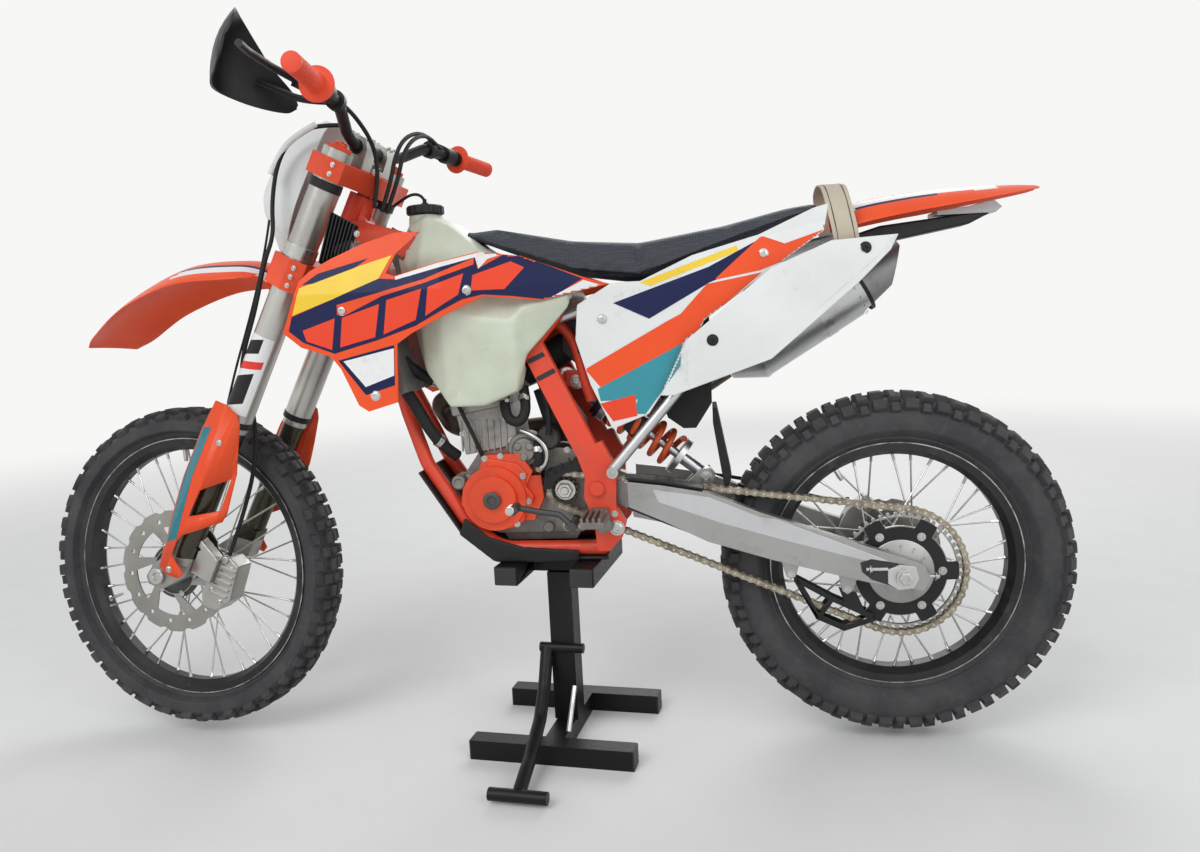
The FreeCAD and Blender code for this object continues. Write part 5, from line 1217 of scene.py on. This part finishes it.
def hose_clamps():
    """Steel bands with their screws where hoses end."""
    bands = Shape()
    for x, y, z, dx, dy, dz, radius in ((-85, -80, 712, 0.1, -0.5, -0.86, 11),
            (-44, -84, 716, -0.2, 0.4, 0.9, 11), (-24, -82, 612, 0.1, -0.3, -0.95, 10),
            (-24, -80, 578, 0, 0.4, -0.9, 10), (-222, -80, 636, -0.6, -0.5, 0.6, 13),
            (-226, -74, 756, -0.7, -0.6, 0.3, 12)):
        way = Vector((dx, dy, dz)).normalized()
        here = Vector((x, y, z))
        bands.collar(radius - 1.5, radius + 0.6, 0, 10, along(here - way * 5, here + way * 5), 32)
        bands.bolt(place_at(x + radius * 0.6, y - radius * 0.8, z, "-Y"), 3.2, 5)
    bands.steel("hose_bands")


hose_clamps()


def dark_forms():
    """Starter motor, black panels behind the spar and the tank, which are painted shade filling the shadow
    there and stand-ins for the dark parts within it, and the bolts of the subframe's strut.
    """
    starter, panel, strut = Shape(), Shape(), Shape()
    starter.turned([(0, 0), (20, 0), (24, 4), (24, 26), (20, 30), (0, 30)], place_at(-6, -36, 632, "-Y"), 40)
    # painted shade: black sheets filling the shadowed space behind the spar and the tank
    panel.prism(((34, 868), (90, 850), (112, 780), (160, 704), (196, 640), (158, 622), (96, 700),
        (70, 760), (24, 800)), -34, -28)
    panel.prism(((-38, 724), (22, 722), (62, 660), (70, 622), (6, 618), (-20, 660)), -26, 26)
    for side in (-1, 1):
        hit = met("subframe", 126, 572, side)
        if hit is not None:
            y = hit.y / MM
            strut.collar(0, 11, 0, 3, facing(126, y - side, 570, side), 32)
            strut.bolt(facing(126, y + side * 2, 570, side), 5.5, 5)
    starter.made("starter_motor", "dark_casting", "chassis", 0.6)
    # the black panels of painted shade
    panel.made("painted_shade_panel", "black_plastic", "chassis", 5.0, 3)
    strut.steel("strut_bolts")


dark_forms()


def lever_tip():
    """Ribbed silver sleeve on the gear lever's peg."""
    spots = [v.co / MM for v in NODES["foot_levers"].data.vertices if v.co.y < 0 and v.co.x / MM < -60]
    middle = sum(spots, Vector()) / len(spots)
    outer = min(spot.y for spot in spots)
    sleeve = Shape()
    profile = [(3, 0)]
    for k in range(5):
        profile += [(8.4, 1 + 5 * k), (8.4, 4 + 5 * k), (7.2, 4.6 + 5 * k), (7.2, 5.4 + 5 * k)]
    profile += [(8.0, 28), (0, 28.5), (0, 0)]
    sleeve.turned(profile, place_at(middle.x, outer + 24, middle.z, "-Y"), 28)
    sleeve.steel("lever_tip")


lever_tip()


def swing_trim():
    """Axle blocks and slots, adjuster bolts, rubbing strips, and a painted highlight: a strip of bright
    aluminium on the left beam's upper face, where its bevel catches the light.
    """
    blocks, bolts, rubber, slots, upper = Shape(), Shape(), Shape(), Shape(), Shape()
    for side in (-1, 1):
        low, high = sorted((side * 113.2, side * 118.5))
        blocks.prism(((633, 344), (633, 371), (655, 380), (684, 376), (690, 352), (680, 334), (652, 331)),
            low, high)
        slots.prism(((584, 384), (604, 391), (680, 376), (686, 350), (676, 331), (641, 338), (604, 351),
            (587, 366)), *sorted((side * 113.0, side * 114.2)))
        bolts.collar(0, 4, 0, 40, place_at(594, side * 114, 371, "X"), 12)
        bolts.bolt(place_at(600, side * 114, 371, "X"), 7, 6)
        if side < 0:
            # painted highlight: a bright aluminium strip on the left beam's upper face, standing for light
            # on its bevel
            upper.prism(((200, 533), (306, 516), (401, 475), (432, 470), (572, 413), (636, 386),
                (591, 388), (462, 424), (330, 464), (210, 508)), -114.0, -113.0)
        bolts.bolt(facing(664, side * 125, 356, side), 13, 8, washer=1.3)
        bolts.collar(0, 4, 0, 26, place_at(704, side * 102, 353, "X"), 12)
        bolts.bolt(place_at(722, side * 102, 353, "X"), 6.5, 6)
    rubber.prism(((150, 552), (219, 543), (296, 528), (296, 532), (219, 548), (150, 557)), -110, -64)
    rubber.prism(((150, 496), (219, 466), (290, 436), (290, 440), (219, 470), (150, 500)), -110, -64)
    blocks.made("axle_blocks", "raw_aluminium", "chassis", 1.2)
    bolts.steel("axle_bolts", bevel=0.4)
    rubber.made("chain_slider", "black_plastic", "chassis", 1.0)
    slots.made("axle_slots", "dark_grey", "chassis", 0.4)
    # the painted highlight on the left beam's upper face
    upper.made("arm_painted_highlight", "raw_aluminium", "chassis", 0.4)


swing_trim()


def chain_guide():
    """Guide with windows round the chain's lower run, hung from two lugs on the left beam."""
    ys = [vertex.co.y / MM for vertex in NODES["chain_guide"].data.vertices]
    near, far = min(ys), max(ys)
    frame_bars = (((462, 352), (540, 308), (536, 300), (470, 338)),
        ((540, 308), (612, 274), (606, 266), (536, 300)), ((612, 274), (614, 262), (556, 244), (552, 252),
        (602, 267)), ((556, 244), (504, 268), (508, 276), (556, 254)),
        ((504, 268), (462, 344), (470, 348), (510, 276)), ((530, 306), (538, 303), (514, 270),
        (506, 274)))
    guide, lugs, bolts = Shape(), Shape(), Shape()
    for low, high in ((near, near + 5), (far - 4, far)):
        for bar in frame_bars:
            guide.prism(bar, low, high)
    guide.prism(((504, 268), (556, 244), (556, 248), (505, 272)), near + 1, far - 1)
    lugs.prism(((436, 394), (476, 384), (467, 352), (458, 346), (449, 352)), near - 0.5, near + 6)
    lugs.prism(((545, 368), (585, 356), (573, 322), (563, 315), (553, 322)), near - 0.5, near + 6)
    guide.prism(((546, 330), (580, 318), (596, 280), (560, 292)), near + 1, near + 5)
    bolts.bolt(place_at(458, near - 0.5, 357, "-Y"), 5, 4)
    bolts.bolt(place_at(563, near - 0.5, 326, "-Y"), 5, 4)
    piece = guide.made("chain_guide_frame", "black_plastic", "chassis", 1.2)
    lugs.made("guide_lugs", "brushed_dark", "chassis", 1.2)
    bolts.steel("guide_bolts")
    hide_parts("chain_guide")


chain_guide()


# dark bands round the spar
for index, outline in enumerate((((-37, 787), (1, 804), (6, 796), (-32, 779)),
        ((-18, 754), (20, 772), (25, 764), (-13, 746)))):
    decal(f"spar_band_{index}", "main_frame", outline, "dark_grey", lift=0.8, cell=4)


# plate round the ignition cover, and the guard over the drive sprocket, seen from the side
COVER_PLATE = ((-124, 599), (-65, 587), (-47, 567), (-53, 544), (-36, 521), (-40, 504), (-57, 495),
    (-55, 475), (-73, 458), (-120, 454), (-162, 477), (-184, 507), (-178, 541), (-149, 570), (-129, 576))
SAVER = ((-16, 536), (-8, 562), (13, 581), (65, 596), (67, 572), (31, 566), (12, 552), (1, 536))


def engine_covers():
    """Lugged plate of the ignition cover, the small covers beside it and the guard over the sprocket."""
    plate, bolts, covers, saver = Shape(), Shape(), Shape(), Shape()
    plate.prism(COVER_PLATE, -91, -57)
    for x, z in ((-55, 562), (-47, 512), (-72, 466), (-146, 566)):
        bolts.bolt(place_at(x, -90.8, z, "-Y"), 4.6, 5)
    gears = place_at(-52, -30, 612, "-Y")
    covers.turned([(0, 0), (34, 0), (34, 43), (31, 46), (25, 46), (24, 51), (21, 54), (0, 54)], gears, 64)
    for k in range(3):
        covers.turned([(0, 50), (8, 50), (8, 56), (6, 58), (0, 58)],
            gears @ Matrix.Translation(at(*polar(14, 0.5 + k * TURN / 3), 0)), 24)
    covers.turned([(0, 0), (15, 0), (15, 45), (12, 48), (8, 48), (7, 46), (0, 46)],
        place_at(-190, -30, 549, "-Y"), 40)
    for x, z, radius, reach in ((-14, 452, 11, 38), (24, 452, 8, 34)):
        covers.turned([(0, 0), (radius, 0), (radius, reach - 2), (radius - 2, reach), (0, reach)],
            place_at(x, -30, z, "-Y"), 32)
    saver.prism(SAVER, -99, -90)
    for x, z in ((-4, 566), (52, 590)):
        saver.collar(0, 6, 0, 40, place_at(x, -56, z, "-Y"), 20)
    for k in range(4):
        x, z = -6 + 16 * k, 557 + 9 * k
        saver.prism(((x, z), (x + 3, z + 1), (x - 1, z + 13), (x - 4, z + 12)), -103, -98)
    plate.made("cover_plate", "orange_metal", "chassis", 2.2, 3)
    bolts.steel("cover_bolts")
    covers.made("case_covers", "casting", "chassis", 1.0, 2, 30)
    saver.made("case_saver", "black_plastic", "chassis", 1.0)


engine_covers()


def cylinder_ribs():
    """Upright ribs on the cylinder's left face."""
    ribs = Shape()
    for x in range(-180, -84, 13):
        hit = met("cylinder", x, 640, -1)
        if hit is not None:
            y = hit.y / MM
            ribs.prism(((x - 1.6, 610), (x + 1.6, 610), (x + 1.6, 672), (x - 1.6, 672)), y - 3.5, y + 2)
    ribs.made("cylinder_ribs", "cast_light", "chassis", 0.8)


cylinder_ribs()


def louvres():
    """Ribbed louvre over each radiator's outer edge, with a tab behind the shroud."""
    slats, bolts = Shape(), Shape()
    for side in (-1, 1):
        inner, back, front = (side * y for y in (160, 163, 171))
        slats.prism(((-402, 990), (-370, 1082), (-321, 1053), (-340, 1009), (-346, 976), (-392, 976)),
            min(inner, back), max(inner, back))
        for i in range(8):
            part = i / 8
            low, high = (-402 + 62 * part, 990 + 19 * part), (-370 + 49 * part, 1082 - 29 * part)
            slats.prism((low, high, (high[0] + 2.6, high[1] - 1.5), (low[0] + 2.6, low[1])),
                min(back, front), max(back, front))
        bolts.bolt(facing(-326, side * 163, 1040, side), 4.5, 4)
    slats.made("radiator_louvres", "black_plastic", "chassis", 0.5)
    bolts.steel("louvre_bolts")


louvres()


def silencer_trim():
    """Collar, strap and rivets round the silencer's can."""
    place = along((354, 165, 738), (716, 165, 959))
    band, dark, rivets = Shape(), Shape(), Shape()
    band.collar(61, 62.6, 62, 72, place, 64)
    band.collar(61, 62.4, 214, 238, place, 64)
    dark.collar(61, 61.9, 318, 326, place, 64)
    for k in range(16):
        spot = place @ Matrix.Rotation(k * TURN / 16, 4, "Z") @ place_at(61.4, 0, 306, "X")
        rivets.turned([(0, 0), (3.2, 0), (2.4, 1.4), (0, 1.8)], spot, 12)
    band.made("silencer_bands", "bright_steel", "chassis", 0.4)
    dark.made("silencer_ring", "black_plastic", "chassis", 0.4)
    rivets.made("silencer_rivets", "bright_steel", "chassis")


silencer_trim()
# the can's dark end begins 326 mm along its axis
dressed("silencer", "raw_aluminium", 1.2, 2, 35, cuts=(((354 + 326 * 0.8535, 165, 738 + 326 * 0.5211),
    (0.8535, 0, 0.5211), "dark_aluminium"),))


def shock_trim():
    """Reservoir, adjuster ring and bolts of the shock absorber."""
    place = along((301, 0, 538), (50, 0, 740))
    rings = Shape()
    rings.collar(24, 42, 250, 258, place, 40)
    rings.collar(24, 38, 260, 266, place, 40)
    rings.made("shock_rings", "black_plastic", "chassis", 0.8)
    can = Shape()
    pot = along((110, -38, 735), (196, -38, 700))
    can.turned([(0, 0), (24, 0), (26, 4), (26, 92), (22, 96), (0, 96)], pot, 40)
    can.made("shock_reservoir", "raw_aluminium", "chassis", 0.8)
    bolts = Shape()
    bolts.bolt(place_at(301, -24.5, 538, "-Y"), 9, 6)
    bolts.bolt(place_at(50, -20.5, 740, "-Y"), 9, 6)
    bolts.steel("shock_bolts")


shock_trim()


# bodywork

melted("fuel_tank", "tank", 4.0, 14)
NOTCH = ((-99, 994), (-176, 977), (-250, 957), (-266, 963), (-247, 998), (-197, 1040), (-184, 1035))
windowed("shrouds", "shroud_shells", "orange_plastic", (NOTCH,), WORLD, (-300, 300))
dressed("side_panels", "white_plastic", 1.6, 3, 40, slot="plastic_white")
blade("rear_fender_blade", ((552, 1044, 66, 42), (605, 1058, 76, 43), (680, 1067, 77, 40),
    (751, 1071, 75, 35), (860, 1071, 60, 20), (915, 1068, 38, 9), (930, 1066, 16, 3)), 3.5, WORLD,
    "orange_plastic", (("white_film", 0.3, 0.62, 570, 850), ("navy", 0.62, 0.68, 590, 740)),
    ("rear_fender", "plastic_orange"))
dressed("tail_lamp", "black_plastic", 5, 4, 30)
dressed("mud_flap", "black_rubber", 1.5, 2, 30)
cushion("seat", "seat", 5.0, 4.0, 4.0, 7.0)

# outlines of the coloured areas on both sides, in x and z
SHROUD_AREAS = (
    ("yellow", "yellow", 0.5, ((-448, 894), (-431, 944), (-340, 972), (-254, 995), (-279, 954),
        (-367, 921))),
    ("navy_top", "navy", 0.7, ((-425, 950), (-394, 969), (-298, 992), (-323, 976), (-405, 951))),
    ("navy_main", "navy", 0.5, ((-449, 892), (-367, 921), (-279, 954), (-248, 951), (-174, 967),
        (-104, 986), (-99, 963), (-48, 989), (-11, 979), (28, 963), (88, 937), (25, 901), (-41, 911),
        (-92, 916), (-128, 909), (-169, 889), (-216, 865), (-289, 842), (-372, 821), (-431, 844),
        (-457, 866))),
    ("white_edge", "white_film", 0.8, ((-248, 956), (-173, 976), (-95, 993), (-48, 989), (-81, 980),
        (-97, 963), (-103, 984), (-174, 967), (-248, 950))),
    ("stripe", "orange_plastic", 0.8, ((-360, 910), (-282, 928), (-195, 949), (-105, 983), (-106, 971),
        (-191, 943), (-274, 922), (-344, 891), (-361, 892))),
    ("block_a", "warm_red", 0.8, ((-430, 866), (-366, 886), (-376, 828), (-424, 846))),
    ("block_b", "warm_red", 0.8, ((-352, 886), (-280, 908), (-292, 848), (-360, 832))),
    ("block_c", "warm_red", 0.8, ((-266, 914), (-200, 932), (-214, 876), (-276, 852))),
    ("block_d", "warm_red", 0.8, ((-188, 934), (-124, 956), (-134, 918), (-196, 882))),
    ("block_e", "warm_red", 0.8, ((-108, 952), (-40, 974), (-16, 962), (-52, 924), (-112, 924))),
    ("white_tail", "white_film", 0.7, ((27, 904), (90, 934), (128, 921), (72, 900))),
    ("low_navy", "navy", 0.5, ((-366, 808), (-258, 832), (-262, 758), (-318, 742))),
    ("low_white", "white_film", 0.8, ((-356, 806), (-259, 826), (-262, 776), (-317, 757))),
)
PANEL_AREAS = (
    ("yellow", "yellow", 0.5, ((192, 924), (372, 982), (375, 972), (213, 917))),
    ("navy", "navy", 0.5, ((142, 889), (320, 946), (415, 992), (452, 978), (385, 940), (322, 918),
        (208, 857))),
    ("orange", "orange_plastic", 0.6, ((83, 768), (245, 853), (266, 863), (316, 915), (416, 931),
        (343, 873), (279, 817), (261, 806), (111, 733))),
    ("teal", "teal", 0.5, ((105, 730), (267, 812), (263, 769), (194, 680), (168, 681), (181, 708),
        (110, 707))),
    ("red_low", "warm_red", 0.6, ((109, 702), (176, 717), (178, 677), (132, 668))),
    ("orange_top", "orange_plastic", 0.6, ((333, 922), (413, 935), (549, 984), (544, 1014), (415, 995),
        (333, 925))),
    ("white_top", "white_film", 0.8, ((421, 996), (505, 1014), (544, 1020), (547, 1008), (459, 981))),
)
for side, mark in SIDES:
    for name, material, lift, outline in SHROUD_AREAS:
        decal(f"shroud_{name}_{mark}", "shrouds", outline, material, side, lift=lift)
    for name, material, lift, outline in PANEL_AREAS:
        decal(f"panel_{name}_{mark}", "side_panels", outline, material, side, lift=lift)
    studs("shroud_bolts_" + mark, "shrouds", ((-351, 899), (-300, 740), (-120, 925)), 7, 4, side=side,
        sides=24)
    studs("panel_bolts_" + mark, "side_panels", ((120, 860), (420, 965)), 7, 4, side=side, sides=24)
studs("guard_bolt", "side_panels", ((323, 813), (600, 965)), 8, 4, "black_plastic", sides=24)
decal("guard_scuffs", "side_panels", ((440, 800), (560, 900), (640, 965), (600, 930), (500, 850)),
    "worn_white", lift=0.4)


def fuel_cap():
    """Ribbed screw cap with its vent."""
    cap, vent = Shape(), Shape()
    rings = []
    for h, r in ((0.5, 36), (3, 37.8), (15, 37.4), (18, 34), (19.6, 24), (19.6, 8)):
        ring = []
        for i in range(96):
            a = i * TURN / 96
            notch = 1.4 if i % 6 < 2 and 2 < h < 17 else 0
            x, y = polar(r - notch, a)
            ring.append((x - 242, y, 1084.3 + h))
        rings.append(ring)
    cap.rings(rings)
    vent.turned([(0, 0), (7, 0), (7, 6), (4, 7), (4, 14), (0, 14)], place_at(-242, 0, 1102, "Z"), 24)
    piece = cap.made("fuel_cap_ribbed", "black_plastic", "chassis", 0.4, slot="plastic_black")
    vent.made("cap_vent", "black_rubber", "chassis")
    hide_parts("fuel_cap")
    hose("vent_hose", ((-242, 0, 1112), (-246, 0, 1122), (-262, 0, 1128), (-284, 4, 1122),
        (-310, 6, 1106)), 3, "black_rubber", "chassis")


fuel_cap()


def strap():
    """Slightly wavy webbing over the fender, with two stitched rows."""
    line = smooth_line(((540, -94, 978), (540, -96, 1010), (540, -86, 1050), (540, -64, 1077),
        (540, -34, 1087), (540, 0, 1089.6), (540, 34, 1087), (540, 64, 1077), (540, 86, 1050),
        (540, 96, 1010), (540, 94, 978)), 8)
    webbing, thread = Shape(), Shape()
    section = ((0, -1.3), (1.2, -1.9), (7, -1.9), (8, -1.5), (9, -1.9), (37, -1.9), (38, -1.5),
        (39, -1.9), (44.8, -1.9), (46, -1.3), (46, 1.3), (44.8, 1.9), (39, 1.9), (38, 1.5), (37, 1.9),
        (9, 1.9), (8, 1.5), (7, 1.9), (1.2, 1.9), (0, 1.3))
    rings = []
    for i, point in enumerate(line):
        lean = (978 - point.z) * 0.18
        way = (line[min(i + 1, len(line) - 1)] - line[max(i - 1, 0)]).normalized()
        out = Vector((0, -way.z, way.y))
        wave = 0.9 * math.sin(i * 0.45)
        rings.append([(548 + lean + x + 0.4 * math.sin(i * 0.3), *(point
            + out * (h + wave * math.sin(x * 0.07)))[1:]) for x, h in section])
    webbing.rings(rings)
    for x in (8, 38):
        for i in range(1, len(line) - 2):
            way = (line[i + 1] - line[i]).normalized()
            out = Vector((0, way.z, -way.y))
            for part in (0.1, 0.6):
                spot = line[i].lerp(line[i + 1], part) + out * -1.75
                end = spot + way * 3.2
                across = 548 + x + (978 - spot.z) * 0.18
                ends = Vector((across, spot.y, spot.z)), Vector((across, end.y, end.z))
                place, long = along(*ends), (ends[1] - ends[0]).length
                thread.turned([(0, 0), (0.9, 0.3), (0.9, long - 0.3), (0, long)], place, 6)
    piece = webbing.made("strap_webbing", "webbing", "chassis", angle=50, slot="webbing")
    thread.made("strap_stitches", "thread", "chassis")
    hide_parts("lift_strap")


strap()


def tail_end():
    """Pale end of the tail lamp."""
    lens = Shape()
    lens.prism(((742, 1021), (742, 1029), (800, 1034), (842, 1044), (858, 1030), (846, 1020)), -37.2, 37.2)
    lens.made("tail_lens", "lens", "chassis", 1.5, 3)


tail_end()


# stand

STAND = Matrix.Translation(at(0, -20, 0)) @ Matrix.Rotation(math.radians(-7.3), 4, "Z")
dressed("stand_base", "stand", 3.0, 3, 40)
dressed("stand_top", "stand", 3.0, 3, 40)


SQUARE = ((-1, -1), (1, -1), (1, 1), (-1, 1))


def stand_trim():
    """Grip tape on the top bars, the lever's links and the bars' end caps."""
    tape, steel, caps = Shape(STAND), Shape(STAND), Shape(STAND)
    for x in (-76.5, 76.5):
        tape.rings([[(x + a, b, h) for a, b in ((-21, -122), (21, -122), (21, 122), (-21, 122))]
            for h in (390.2, 390.9)])
    for x in (-32, 28):
        start, end = Vector((x, -52, 116)), Vector((x - 4, -86, 52))
        steel.collar(0, 5, -8, (end - start).length + 8, along(start, end), 16)
    for x in (-76.5, 76.5):
        for way in (-1, 1):
            rings = [[(x + a * (22 - inset), way * (126 + step), 372 + b * (17 - inset)) for a,
                b in SQUARE] for step, inset in ((-1.0, 0.2), (2.0, 0.2), (3.0, 1.4))]
            caps.rings(rings)
    for y in (-126.5, 126.5):
        for x in (-165.5, 165.5):
            way = 1 if x > 0 else -1
            rings = [[(x + way * step, y + a * (20 - inset), 20 + b * (20 - inset)) for a, b in SQUARE]
                for step, inset in ((-1.0, 0.2), (2.2, 0.2), (3.0, 1.2))]
            caps.rings(rings)
    tape.made("stand_tape", "grip_tape", "chassis")
    steel.steel("stand_links")
    caps.made("stand_caps", "dark_grey", "chassis", 0.6)


stand_trim()


# half the floor's side, and the distances between which it fades, in metres
FLOOR_HALF, FADE = 14.0, (1.6, 7.0)


def set_floor():
    """Pale floor that fades into the backdrop's colour with the distance."""
    mesh = bpy.data.meshes.new("floor")
    mesh.from_pydata([(a * FLOOR_HALF, b * FLOOR_HALF, 0) for a, b in SQUARE], [], [(0, 1, 2, 3)])
    floor = linked("floor", mesh)
    material = surface("floor", (0.8, 0.8, 0.79), 0.8, second=(0.78, 0.78, 0.77), bump=0.02)
    tree = material.node_tree
    place = put(tree, "TexCoord").outputs["Object"]
    away = put(tree, "VectorMath", {0: place}, operation="LENGTH").outputs["Value"]
    far = put(tree, "MapRange", {"Value": away, "From Min": FADE[0], "From Max": FADE[1]},
        interpolation_type="SMOOTHSTEP")
    glow = put(tree, "Emission", {"Color": rgb(BACKDROP)})
    mix = put(tree, "MixShader", {0: far.outputs["Result"], 1: tree.nodes["Principled BSDF"].outputs[0],
        2: glow.outputs[0]})
    tree.links.new(mix.outputs[0], tree.nodes["Material Output"].inputs["Surface"])
    mesh.materials.append(material)


set_floor()
